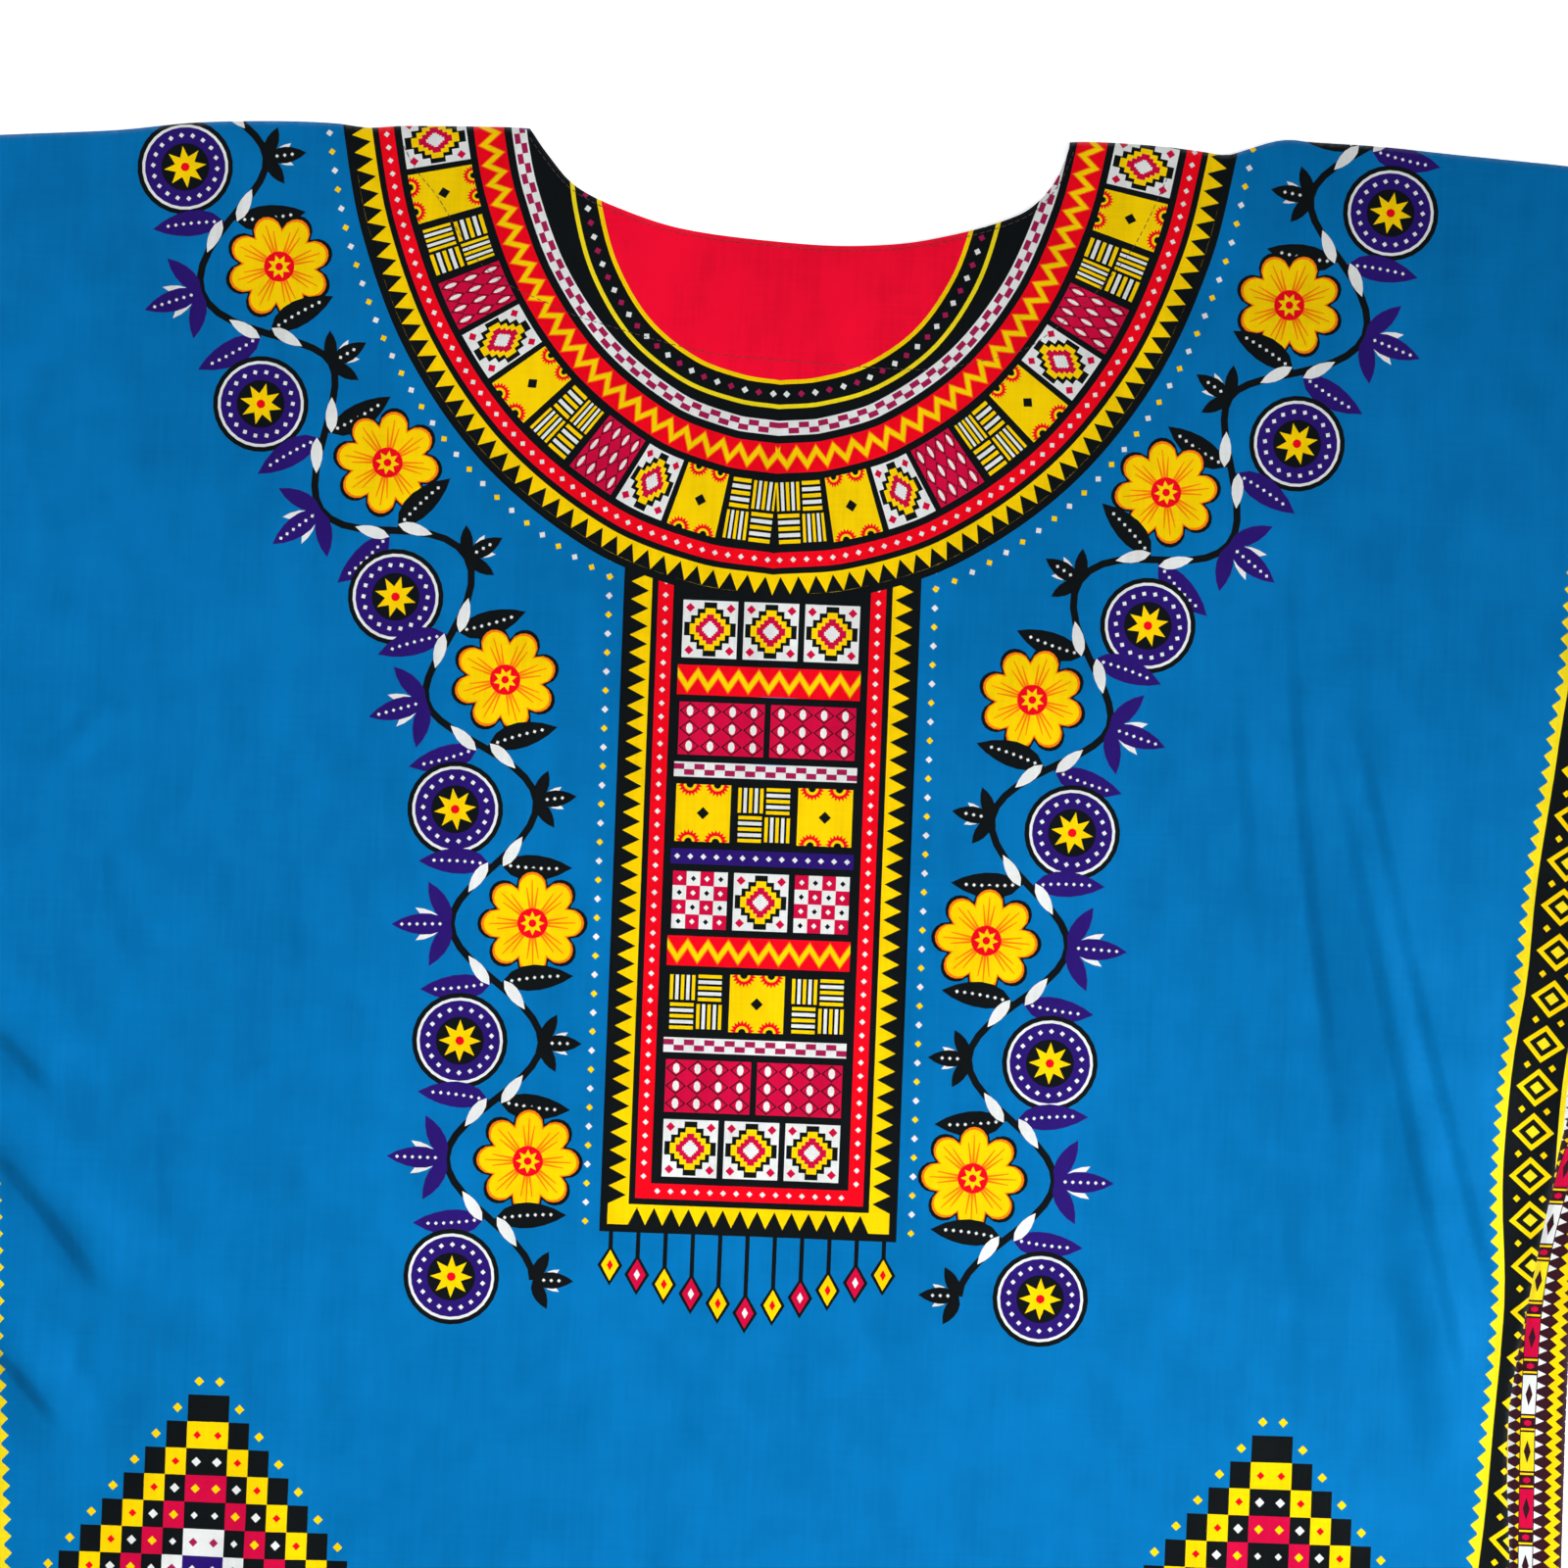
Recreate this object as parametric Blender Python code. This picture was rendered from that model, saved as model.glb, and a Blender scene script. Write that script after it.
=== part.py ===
"""A printed cotton dashiki shirt, laid out flat with its front up.

The shirt is two panels, a front and a back, each cut in one piece with its wide sleeves.
They are sewn together along the shoulders and along the underarm and side lines. As the
shirt lies, its side seams have crept round: at +X the back's edge comes over the top, and
at -X the front's edge goes underneath, so that each side ends in a soft roll of cloth.

Frame: +X across, +Y towards the neck, +Z up. The origin is at the middle of the shirt's
box, on the surface that it lies on. "Across" is measured from the centre line, and "down"
from the shoulder line towards the bottom hem.
"""

import bisect
import math
from typing import NamedTuple

import bmesh
import bpy
from mathutils import Vector, kdtree
from mathutils.geometry import delaunay_2d_cdt

MM = 0.001

# Driving dimensions.
LENGTH = 785 * MM  # shoulder line to bottom hem
SLEEVE_REACH = 402 * MM  # centre line to the top of a sleeve's hem
SLEEVE_TAPER = 3 * MM  # how far a sleeve's hem leans in towards its lower end
SLEEVE_DEPTH = 292 * MM  # shoulder line to the lower end of a sleeve's hem
SHOULDER_RISE = 7.5 * MM  # how far the +X shoulder stands above the shoulder line
CLOTH = 1.0 * MM  # thickness of each panel's wall
SEAM_GAP = 0.3 * MM  # gap that keeps two sewn pieces apart

# Levels of the middle of the cloth above the surface.
UNDER_LEVEL = CLOTH / 2
UPPER_LEVEL = UNDER_LEVEL + CLOTH + SEAM_GAP

# How high the upper cloth stands off the lower one away from its seams.
LOFT = 1.9 * MM
LOFT_EASE = 55 * MM  # distance from the shoulder in which the loft comes up
ROLL_EASE = 30 * MM  # distance from a side roll in which the cloth settles
CORNER_EASE = 12 * MM  # stretch of the underarm in which the roll begins

# Spacing of the points of a panel's mesh.
HEM_STEP = 20 * MM
NECK_STEP = 9 * MM
FIELD_STEP = 24 * MM
UNDER_STEP = 60 * MM
FOLD_STEP = 18 * MM
EDGE_CLEARANCE = 6 * MM  # nearest that a free point comes to an edge
POINT_CLEARANCE = 0.42  # and to another point, in steps of its own spacing
ROLL_STEPS = 3  # faces in each quarter of a roll
PROBE = 0.2 * MM  # reach of the differences that give the cloth's slope


class Station(NamedTuple):
    """A place on the laid-out shirt, in millimetres."""

    across: float
    down: float


class SideRow(NamedTuple):
    """The side of the body at one height, in millimetres."""

    down: float
    half_width: float  # centre line to the outside of the roll
    roll: float  # radius of the roll, to the middle of the cloth
    seam: float  # how far round the roll the seam has crept, from its outermost line


class Fold(NamedTuple):
    """A soft ridge (or, with a negative height, a trough) of the front, in millimetres."""

    start: Station
    bend: Station
    end: Station
    half_width: float
    height: float


SHOULDER_AT_MINUS_X = (
    Station(-402, 17.5),
    Station(-330, 10.6),
    Station(-281, 6.7),
    Station(-249, 2.4),
    Station(-214, 0.4),
    Station(-190, 0.4),
    Station(-176, 1.7),
    Station(-163, 0.5),
    Station(-120, -0.7),
    Station(-108.8, -0.6),
)
NECKLINE = (
    Station(-108.8, -0.6),
    Station(-101, 9.9),
    Station(-89, 22.6),
    Station(-70, 31.4),
    Station(-43, 39),
    Station(0, 43),
    Station(30, 43.3),
    Station(60, 39.5),
    Station(97, 27.7),
    Station(110, 15.5),
    Station(116.6, 0),
    Station(117, -3.4),
)
SHOULDER_AT_PLUS_X = (
    Station(117, -3.4),
    Station(126, -3.9),
    Station(143, -3.7),
    Station(160, -2.8),
    Station(173, -1.6),
    Station(183, -0.6),
    Station(191, -3.2),
    Station(202, -6.9),
    Station(209, -8.0),
    Station(217, -7.4),
    Station(246, -6.6),
    Station(277, -4.5),
    Station(326, -1.4),
    Station(402, 4.2),
)
SIDE_ROWS = (
    SideRow(down=292, half_width=399, roll=0.65, seam=0),
    SideRow(down=345, half_width=371, roll=1.5, seam=9),
    SideRow(down=395, half_width=355, roll=2.0, seam=13.5),
    SideRow(down=430, half_width=349.2, roll=2.1, seam=14.5),
    SideRow(down=470, half_width=345.5, roll=2.2, seam=17.6),
    SideRow(down=515, half_width=344.6, roll=2.2, seam=23),
    SideRow(down=545, half_width=344.7, roll=2.2, seam=23.4),
    SideRow(down=585, half_width=345, roll=2.2, seam=21.2),
    SideRow(down=785, half_width=347, roll=2.1, seam=19.5),
)
FOLDS = (
    # Drag folds that fall from the +X underarm.
    Fold(Station(236, 268), Station(254, 345), Station(262, 430), 11, 3.4),
    Fold(Station(250, 276), Station(274, 366), Station(291, 468), 11, 5.0),
    Fold(Station(276, 292), Station(299, 372), Station(312, 446), 12, 4.4),
    Fold(Station(268, 424), Station(288, 480), Station(298, 560), 10, 3.2),
    # Drag folds that slant in from the -X underarm.
    Fold(Station(-332, 362), Station(-302, 388), Station(-276, 410), 11, 3.8),
    Fold(Station(-318, 426), Station(-282, 454), Station(-250, 498), 12, 4.2),
    Fold(Station(-324, 500), Station(-296, 524), Station(-276, 574), 11, 3.4),
    # Long soft folds down the skirt to the bottom hem.
    Fold(Station(-196, 560), Station(-206, 680), Station(-198, 786), 17, 4.4),
    Fold(Station(-84, 610), Station(-72, 700), Station(-78, 786), 15, 3.2),
    Fold(Station(58, 590), Station(70, 690), Station(62, 786), 16, 3.8),
    Fold(Station(206, 572), Station(222, 680), Station(226, 786), 17, 4.6),
    # Folds across the sleeves, from below the shoulder to the hems.
    Fold(Station(-262, 74), Station(-318, 82), Station(-401, 108), 14, 4.2),
    Fold(Station(-276, 246), Station(-316, 226), Station(-400, 214), 14, 4.6),
    Fold(Station(296, 58), Station(332, 66), Station(402, 92), 14, 4.0),
    Fold(Station(284, 216), Station(334, 208), Station(400, 222), 15, 4.8),
)

PRINTED_BLUE = (0.0, 0.19, 0.52, 1.0)
PRINTED_BLUE_REVERSE = (0.03, 0.21, 0.48, 1.0)
COTTON_ROUGHNESS = 0.85

# The Y of the shoulder line, which puts the origin at the middle of the shirt's length.
SHOULDER_Y = (LENGTH - SHOULDER_RISE) / 2


def ease(share):
    """A share from 0 to 1, eased at both ends."""
    share = min(max(share, 0.0), 1.0)
    return share * share * (3 - 2 * share)


def curve_at(keys, values, key):
    """The value at a key, on a smooth curve through the given keys and values."""
    last = len(keys) - 1
    left = min(max(bisect.bisect_right(keys, key) - 1, 0), last - 1)
    right = left + 1

    def slope(index):
        before = max(index - 1, 0)
        after = min(index + 1, last)
        return (values[after] - values[before]) / (keys[after] - keys[before])

    span = keys[right] - keys[left]
    share = min(max((key - keys[left]) / span, 0.0), 1.0)
    away = 1 - share
    return (
        values[left] * away * away * (1 + 2 * share)
        + values[right] * share * share * (1 + 2 * away)
        + slope(left) * span * share * away * away
        - slope(right) * span * share * share * away
    )


def smooth_line(stations, step):
    """Points in metres, about a step apart, along a smooth curve through the stations."""
    lengths = [0.0]
    for before, after in zip(stations, stations[1:]):
        lengths.append(lengths[-1] + math.dist(before, after))
    acrosses = [station.across for station in stations]
    downs = [station.down for station in stations]
    count = max(round(lengths[-1] * MM / step), 2)
    points = []
    for index in range(count + 1):
        along = lengths[-1] * index / count
        across = curve_at(lengths, acrosses, along) * MM
        points.append((across, curve_at(lengths, downs, along) * MM))
    return points


def top_line(step, neck_step):
    """The whole top edge from one sleeve hem to the other, by way of the neck."""
    minus_x = smooth_line(SHOULDER_AT_MINUS_X, step)
    neck = smooth_line(NECKLINE, neck_step)
    plus_x = smooth_line(SHOULDER_AT_PLUS_X, step)
    return minus_x + neck[1:] + plus_x[1:]


TOP_LINE = top_line(5 * MM, 2 * MM)
TOP_ACROSS = [point[0] for point in TOP_LINE]


def top_at(across):
    """How far down the top edge is at a place across the shirt."""
    index = min(max(bisect.bisect_right(TOP_ACROSS, across), 1), len(TOP_LINE) - 1)
    (left, left_down), (right, right_down) = TOP_LINE[index - 1 : index + 1]
    share = min(max((across - left) / (right - left), 0.0), 1.0)
    return left_down + (right_down - left_down) * share


SIDE_KEYS = [row.down * MM for row in SIDE_ROWS]


def side_value(column, down):
    """One column of the side's table, in metres, at a distance down."""
    values = [getattr(row, column) * MM for row in SIDE_ROWS]
    return curve_at(SIDE_KEYS, values, down)


class Side:
    """The rolled side of the body at one distance down."""

    def __init__(self, down):
        self.roll = side_value("roll", down)
        self.seam = side_value("seam", down)
        self.quarter = math.pi / 2 * self.roll
        # The roll's own axis lies this far across.
        self.axis = side_value("half_width", down) - CLOTH / 2 - self.roll
        # The flat pattern reaches its outermost line this far across.
        self.outermost = self.axis + self.quarter


def sleeve_hem(down):
    """How far across a sleeve's hem is."""
    return SLEEVE_REACH - SLEEVE_TAPER * max(down, 0.0) / SLEEVE_DEPTH


def fold_lines(fold):
    """The fold's middle line, as points in metres."""
    return smooth_line((fold.start, fold.bend, fold.end), FOLD_STEP)


FOLD_LINES = [fold_lines(fold) for fold in FOLDS]


def place_on_line(line, across, down):
    """(distance to a line of points, share of its length) for a place."""
    place = Vector((across, down))
    nearest = (math.inf, 0.0)
    for index in range(len(line) - 1):
        start = Vector(line[index])
        run = Vector(line[index + 1]) - start
        share = min(max((place - start).dot(run) / run.length_squared, 0.0), 1.0)
        distance = (start + run * share - place).length
        if distance < nearest[0]:
            nearest = (distance, (index + share) / (len(line) - 1))
    return nearest


def fold_height(across, down):
    """How far the folds lift the front here."""
    total = 0.0
    for fold, line in zip(FOLDS, FOLD_LINES):
        distance, share = place_on_line(line, across, down)
        half_width = fold.half_width * MM
        if distance >= 2 * half_width:
            continue
        runs_to_hem = fold.end.down > LENGTH / MM or abs(fold.end.across) >= 400
        ends = ease(share / 0.35) * (1.0 if runs_to_hem else ease((1 - share) / 0.35))
        across_fold = ease(1 - distance / (2 * half_width))
        total += fold.height * MM * ends * across_fold
    return total


def upper_level(across, down):
    """Height of the middle of the upper cloth above the surface."""
    from_top = ease((down - top_at(across)) / LOFT_EASE)
    level = UPPER_LEVEL + (LOFT + fold_height(across, down)) * from_top
    if down <= SLEEVE_DEPTH:
        return level
    side = Side(down)
    beside_roll = 1 - ease((side.axis - abs(across)) / ROLL_EASE)
    beside_roll *= ease((down - SLEEVE_DEPTH) / CORNER_EASE)
    roll_level = UNDER_LEVEL + 2 * side.roll
    return level + (roll_level - level) * beside_roll


class Panel(NamedTuple):
    """One of the two panels, and how it lies."""

    name: str
    is_front: bool
    field_step: float
    colour: tuple

    def cut_edges(self, down):
        """(left, right) edges of the flat pattern at a distance down."""
        if down <= SLEEVE_DEPTH:
            return -sleeve_hem(down), sleeve_hem(down)
        side = Side(down)
        # The seams have crept from both sides in one turn, so the panels swap ends.
        turn = side.seam if self.is_front else -side.seam
        gap = SEAM_GAP / 2
        started = ease((down - SLEEVE_DEPTH) / CORNER_EASE)
        plain = side_value("half_width", down)
        left = side.outermost - gap + turn
        right = side.outermost - gap - turn
        return (
            -(plain + (left - plain) * started),
            plain + (right - plain) * started,
        )

    def place(self, flat, down):
        """The point of the laid shirt for a place on the flat pattern."""
        if self.is_front:
            plain = (flat, upper_level(flat, down))
        else:
            plain = (flat, UNDER_LEVEL)
        across, level = plain
        if down > SLEEVE_DEPTH:
            rolled = self.rolled_place(flat, down)
            started = ease((down - SLEEVE_DEPTH) / CORNER_EASE)
            across = plain[0] + (rolled[0] - plain[0]) * started
            level = plain[1] + (rolled[1] - plain[1]) * started
        return Vector((across, SHOULDER_Y - down, level))

    def rolled_place(self, flat, down):
        """(across, level) where the cloth goes round the side rolls."""
        side = Side(down)
        hand = 1 if flat > 0 else -1
        # Distance along the cloth from the outermost line, positive on the upper side.
        round_roll = side.outermost - abs(flat)
        if not self.is_front:
            round_roll = -round_roll
        if abs(round_roll) <= side.quarter:
            angle = round_roll / side.roll
            across = side.axis + side.roll * math.cos(angle)
            return hand * across, UNDER_LEVEL + side.roll * (1 + math.sin(angle))
        across = hand * (side.axis - (abs(round_roll) - side.quarter))
        if round_roll > 0:
            return across, upper_level(across, down)
        return across, UNDER_LEVEL

    def wall(self, flat, down):
        """The points on the two faces of the wall for a place on the flat pattern."""
        middle = self.place(flat, down)
        along = self.place(flat + PROBE, down) - self.place(flat - PROBE, down)
        up = self.place(flat, down - PROBE) - self.place(flat, down + PROBE)
        normal = along.cross(up).normalized()
        return middle + normal * CLOTH / 2, middle - normal * CLOTH / 2


def side_downs():
    """Distances down of the rows along the underarm and the side."""
    start = [SLEEVE_DEPTH + share * CORNER_EASE for share in (0.0, 0.5, 1.0)]
    count = round((LENGTH - start[-1]) / HEM_STEP)
    step = (LENGTH - start[-1]) / count
    return start + [start[-1] + step * index for index in range(1, count + 1)]


def outline(panel):
    """The closed edge of a panel's flat pattern."""
    top = top_line(HEM_STEP, NECK_STEP)
    left_top = top[0][1]
    right_top = top[-1][1]
    downs = side_downs()
    edges = [panel.cut_edges(down) for down in downs]
    sleeve_steps = round(SLEEVE_DEPTH / HEM_STEP)
    right_hem = []
    left_hem = []
    for index in range(1, sleeve_steps):
        share = index / sleeve_steps
        right_down = right_top + (SLEEVE_DEPTH - right_top) * share
        left_down = left_top + (SLEEVE_DEPTH - left_top) * share
        right_hem.append((sleeve_hem(right_down), right_down))
        left_hem.append((-sleeve_hem(left_down), left_down))
    right_side = [(edge[1], down) for edge, down in zip(edges, downs)]
    left_side = [(edge[0], down) for edge, down in zip(edges, downs)]
    left_end, right_end = edges[-1]
    count = round((right_end - left_end) / HEM_STEP)
    bottom = [
        (right_end + (left_end - right_end) * index / count, LENGTH)
        for index in range(1, count)
    ]
    return top + right_hem + right_side + bottom + left_side[::-1] + left_hem[::-1]


def roll_lines(panel):
    """Lines of points along the side roll that the panel goes round."""
    lines = []
    for part in range(-ROLL_STEPS, ROLL_STEPS + 1):
        line = []
        for down in side_downs()[2:]:
            side = Side(down)
            flat = side.outermost + side.quarter * part / ROLL_STEPS
            # The front goes round at -X, and the back at +X.
            line.append((-flat if panel.is_front else flat, down))
        lines.append(line)
    return lines


def fold_grid():
    """Lines of points along and beside each fold."""
    lines = []
    for fold, line in zip(FOLDS, FOLD_LINES):
        for offset in (-2, -1.2, -0.55, 0, 0.55, 1.2, 2):
            beside = []
            for index, point in enumerate(line):
                before = Vector(line[max(index - 1, 0)])
                after = Vector(line[min(index + 1, len(line) - 1)])
                run = (after - before).normalized()
                shift = Vector((-run.y, run.x)) * (offset * fold.half_width * MM)
                beside.append((point[0] + shift.x, point[1] + shift.y))
            lines.append(beside)
    return lines


def is_inside(panel, place):
    """Whether a place is on the panel, clear of its edges and of its roll."""
    across, down = place
    if down > LENGTH - EDGE_CLEARANCE or down < top_at(across) + EDGE_CLEARANCE:
        return False
    left, right = panel.cut_edges(down)
    if down > SLEEVE_DEPTH:
        side = Side(down)
        left = max(left, -side.axis)
        right = min(right, side.axis)
    return left + EDGE_CLEARANCE < across < right - EDGE_CLEARANCE


class FlatMesh:
    """Points and lines of a flat pattern, ready to be cut into triangles."""

    def __init__(self):
        self.points = []
        self.edges = []

    def add_line(self, points, closed=False):
        """Adds a run of points and the edges between them."""
        first = len(self.points)
        self.points.extend(points)
        last = len(self.points) - 1
        self.edges.extend((index, index + 1) for index in range(first, last))
        if closed:
            self.edges.append((last, first))

    def add_free(self, points, clearance):
        """Adds those points that lie clear of all that is there."""
        tree = kdtree.KDTree(len(self.points))
        for index, point in enumerate(self.points):
            tree.insert((point[0], point[1], 0), index)
        tree.balance()
        for point in points:
            if tree.find((point[0], point[1], 0))[2] > clearance:
                self.points.append(point)

    def triangles(self):
        """(points, triangles), each triangle anticlockwise as seen from above."""
        # Down is turned to up, so that the winding is the same on the laid shirt.
        flat = [Vector((across, -down)) for across, down in self.points]
        made = delaunay_2d_cdt(flat, self.edges, [], 1, 1e-7)
        return [(point.x, -point.y) for point in made[0]], made[2]


def field_points(panel):
    """A staggered grid of points over the panel."""
    step = panel.field_step
    rows = round(LENGTH / step)
    columns = round(SLEEVE_REACH / step) + 1
    points = []
    for row in range(1, rows):
        stagger = 0.5 * (row % 2)
        for column in range(-columns, columns + 1):
            point = ((column + stagger) * step, row * step)
            if is_inside(panel, point):
                points.append(point)
    return points


def panel_mesh(panel):
    """The panel's mesh: its flat pattern in triangles, laid out, with a wall's thickness."""
    flat = FlatMesh()
    flat.add_line(outline(panel), closed=True)
    for line in roll_lines(panel):
        flat.add_line(line[:-1])
    if panel.is_front:
        for line in fold_grid():
            flat.add_free(
                [point for point in line if is_inside(panel, point)], 4 * MM
            )
    flat.add_free(field_points(panel), POINT_CLEARANCE * panel.field_step)
    places, triangles = flat.triangles()

    work = bmesh.new()
    faces = [panel.wall(*place) for place in places]
    upper = [work.verts.new(face[0]) for face in faces]
    lower = [work.verts.new(face[1]) for face in faces]
    used = {}
    for a, b, c in triangles:
        work.faces.new((upper[a], upper[b], upper[c]))
        work.faces.new((lower[c], lower[b], lower[a]))
        for start, end in ((a, b), (b, c), (c, a)):
            used[(start, end)] = True
    for start, end in used:
        if (end, start) not in used:
            work.faces.new((upper[end], upper[start], lower[start], lower[end]))
    loose = [vert for vert in work.verts if not vert.link_faces]
    bmesh.ops.delete(work, geom=loose, context="VERTS")
    mesh = bpy.data.meshes.new(panel.name)
    work.to_mesh(mesh)
    work.free()
    return mesh


def cotton(panel):
    """The panel's own material."""
    material = bpy.data.materials.new(panel.name + "_cotton")
    material.use_nodes = True
    shader = material.node_tree.nodes["Principled BSDF"]
    shader.inputs["Base Color"].default_value = panel.colour
    shader.inputs["Roughness"].default_value = COTTON_ROUGHNESS
    shader.inputs["Metallic"].default_value = 0.0
    return material


def clear_scene():
    """Removes what the file starts with."""
    for obj in list(bpy.data.objects):
        bpy.data.objects.remove(obj, do_unlink=True)


def build_panel(panel):
    """Adds the panel to the scene."""
    obj = bpy.data.objects.new(panel.name, panel_mesh(panel))
    obj.data.materials.append(cotton(panel))
    obj.data.shade_smooth()
    obj.data.set_sharp_from_angle(angle=math.radians(40))
    bpy.context.scene.collection.objects.link(obj)
    return obj


def main():
    """Builds the shirt."""
    clear_scene()
    build_panel(Panel("front_panel", True, FIELD_STEP, PRINTED_BLUE))
    build_panel(Panel("back_panel", False, UNDER_STEP, PRINTED_BLUE_REVERSE))


main()
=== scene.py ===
"""The finished cloth of a printed cotton dashiki shirt, laid out flat with its front up.

Two panels, each cut in one piece with its wide sleeves, lie on each other. They are sewn
along the shoulders and the sides, and at +X the back's edge comes over the top. Each is a
thin shell of cloth with its creases, hems and print in its own mesh, so the print keeps its
edges at any distance.

A place on the flat cloth is (across, down) in millimetres: across from the centre line, and
down from the shoulder line towards the bottom hem. The shirt itself is in metres, with +X
across, +Y towards the neck and +Z up.
"""

import logging
import math
from collections.abc import Sequence
from dataclasses import dataclass, field
from enum import Enum
from itertools import product

import bpy
import numpy as np
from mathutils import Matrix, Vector, kdtree
from mathutils.geometry import delaunay_2d_cdt


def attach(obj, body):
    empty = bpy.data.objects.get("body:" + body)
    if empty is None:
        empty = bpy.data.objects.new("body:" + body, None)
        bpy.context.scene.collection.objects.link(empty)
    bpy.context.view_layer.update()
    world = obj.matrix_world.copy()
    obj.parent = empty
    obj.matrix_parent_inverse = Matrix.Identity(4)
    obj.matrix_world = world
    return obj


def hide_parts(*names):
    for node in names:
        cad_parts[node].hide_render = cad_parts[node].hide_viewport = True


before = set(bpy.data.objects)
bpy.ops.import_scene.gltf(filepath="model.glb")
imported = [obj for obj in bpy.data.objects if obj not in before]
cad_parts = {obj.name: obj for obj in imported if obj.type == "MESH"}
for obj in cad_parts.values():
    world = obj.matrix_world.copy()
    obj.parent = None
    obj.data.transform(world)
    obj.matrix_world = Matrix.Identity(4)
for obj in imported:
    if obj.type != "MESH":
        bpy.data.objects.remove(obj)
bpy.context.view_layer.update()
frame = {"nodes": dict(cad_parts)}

Array = np.ndarray
Station = tuple[float, float]
Point = tuple[float, float, float]
Colour = tuple[float, float, float, float]

MM = 0.001
LOG = logging.getLogger("dashiki_shirt")

# Levels of the middle of the cloth above the surface, in millimetres.
UNDER_LEVEL = 0.5
UPPER_LEVEL = 1.8
DYE_ATTRIBUTE = "dye"
WEAR_ATTRIBUTE = "edge_wear"
CLOTH_UV = "cloth"
# Steps right, left, up and down, whose differences give the cloth's slope.
PROBES = 0.12 * np.array(((1, 0), (-1, 0), (0, -1), (0, 1)))
WHITE_LIGHT = (1.0, 1.0, 1.0, 1.0)


# --- Smooth lines and tables -------------------------------------------------------------


def ease(share: Array) -> Array:
    """Return a share from 0 to 1, eased at both ends."""
    share = np.clip(share, 0.0, 1.0)
    return share * share * (3 - 2 * share)


def smooth_values(keys: Sequence[float], values: Sequence[float], wanted: Array) -> Array:
    """Read a smooth curve through a table.

    Args:
        keys: The table's keys, rising.
        values: The value at each key.
        wanted: The keys to read at, held inside the table.

    Returns:
        The values at the wanted keys.
    """
    keys = np.asarray(keys, float)
    values = np.asarray(values, float)
    slopes = np.empty_like(values)
    slopes[0] = (values[1] - values[0]) / (keys[1] - keys[0])
    slopes[-1] = (values[-1] - values[-2]) / (keys[-1] - keys[-2])
    slopes[1:-1] = (values[2:] - values[:-2]) / (keys[2:] - keys[:-2])
    left = np.clip(np.searchsorted(keys, wanted, side="right") - 1, 0, len(keys) - 2)
    span = keys[left + 1] - keys[left]
    share = np.clip((wanted - keys[left]) / span, 0.0, 1.0)
    away = 1 - share
    return (
        values[left] * away * away * (1 + 2 * share)
        + values[left + 1] * share * share * (1 + 2 * away)
        + slopes[left] * span * share * away * away
        - slopes[left + 1] * span * share * share * away
    )


def lengths_along(line: Array) -> Array:
    """Return the distance from the start of a line to each of its points."""
    return np.concatenate(([0.0], np.cumsum(np.hypot(*np.diff(line, axis=0).T))))


def smooth_line(stations: Sequence[Station], step: float) -> Array:
    """Return points about a step apart on a smooth curve through the stations."""
    corners = np.asarray(stations, float)
    lengths = lengths_along(corners)
    count = max(round(lengths[-1] / step), 2)
    along = np.linspace(0.0, lengths[-1], count + 1)
    return np.column_stack([smooth_values(lengths, corners[:, axis], along) for axis in (0, 1)])


def straight_line(start: Station, end: Station, step: float) -> Array:
    """Return points about a step apart on a straight line."""
    count = max(round(math.dist(start, end) / step), 1)
    return np.linspace(start, end, count + 1)


def nearest_on_line(line: Array, places: Array) -> tuple[Array, Array, Array]:
    """Find how near each place is to a line.

    Args:
        line: The points of the line.
        places: The places to measure from.

    Returns:
        The distance of each place, how many of the line's points lie before the nearest
        place on it (as a number with its fraction), and whether the place is on the
        left-hand side of someone who follows the line.
    """
    best = np.full(len(places), np.inf)
    position = np.zeros(len(places))
    on_left = np.zeros(len(places), bool)
    for index, (start, end) in enumerate(zip(line, line[1:])):
        run = end - start
        away = places - start
        share = np.clip(away @ run / max(run @ run, 1e-12), 0.0, 1.0)
        distance = np.hypot(*(share[:, None] * run - away).T)
        closer = distance < best
        best[closer] = distance[closer]
        position[closer] = index + share[closer]
        on_left[closer] = (run[1] * away[:, 0] > run[0] * away[:, 1])[closer]
    return best, position, on_left


def near_box(line: Array, places: Array, reach: float) -> Array:
    """Return the indices of the places within reach of the box round a line."""
    low = line.min(axis=0) - reach
    high = line.max(axis=0) + reach
    return np.nonzero(((places > low) & (places < high)).all(axis=1))[0]


# --- The cut of the cloth ----------------------------------------------------------------


class Face(Enum):
    """The two panels, with the direction of each one's outside when it lies flat."""

    FRONT = 1
    BACK = -1


class Edge(Enum):
    """The kinds of edge round a panel."""

    SHOULDER = "shoulder seam"
    NECK = "neck edge"
    SLEEVE = "sleeve hem"
    SIDE = "side seam"
    BOTTOM = "bottom hem"


@dataclass(frozen=True)
class SideShape:
    """The rolled side of the body at some distances down, in millimetres."""

    half_width: Array
    roll: Array
    seam: Array

    @property
    def quarter(self) -> Array:
        """Length of a quarter of the roll."""
        return math.pi / 2 * self.roll

    @property
    def axis(self) -> Array:
        """How far across the roll's own axis is."""
        return self.half_width - UNDER_LEVEL - self.roll

    @property
    def outermost(self) -> Array:
        """How far across the flat cloth its outermost line is."""
        return self.axis + self.quarter


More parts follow.
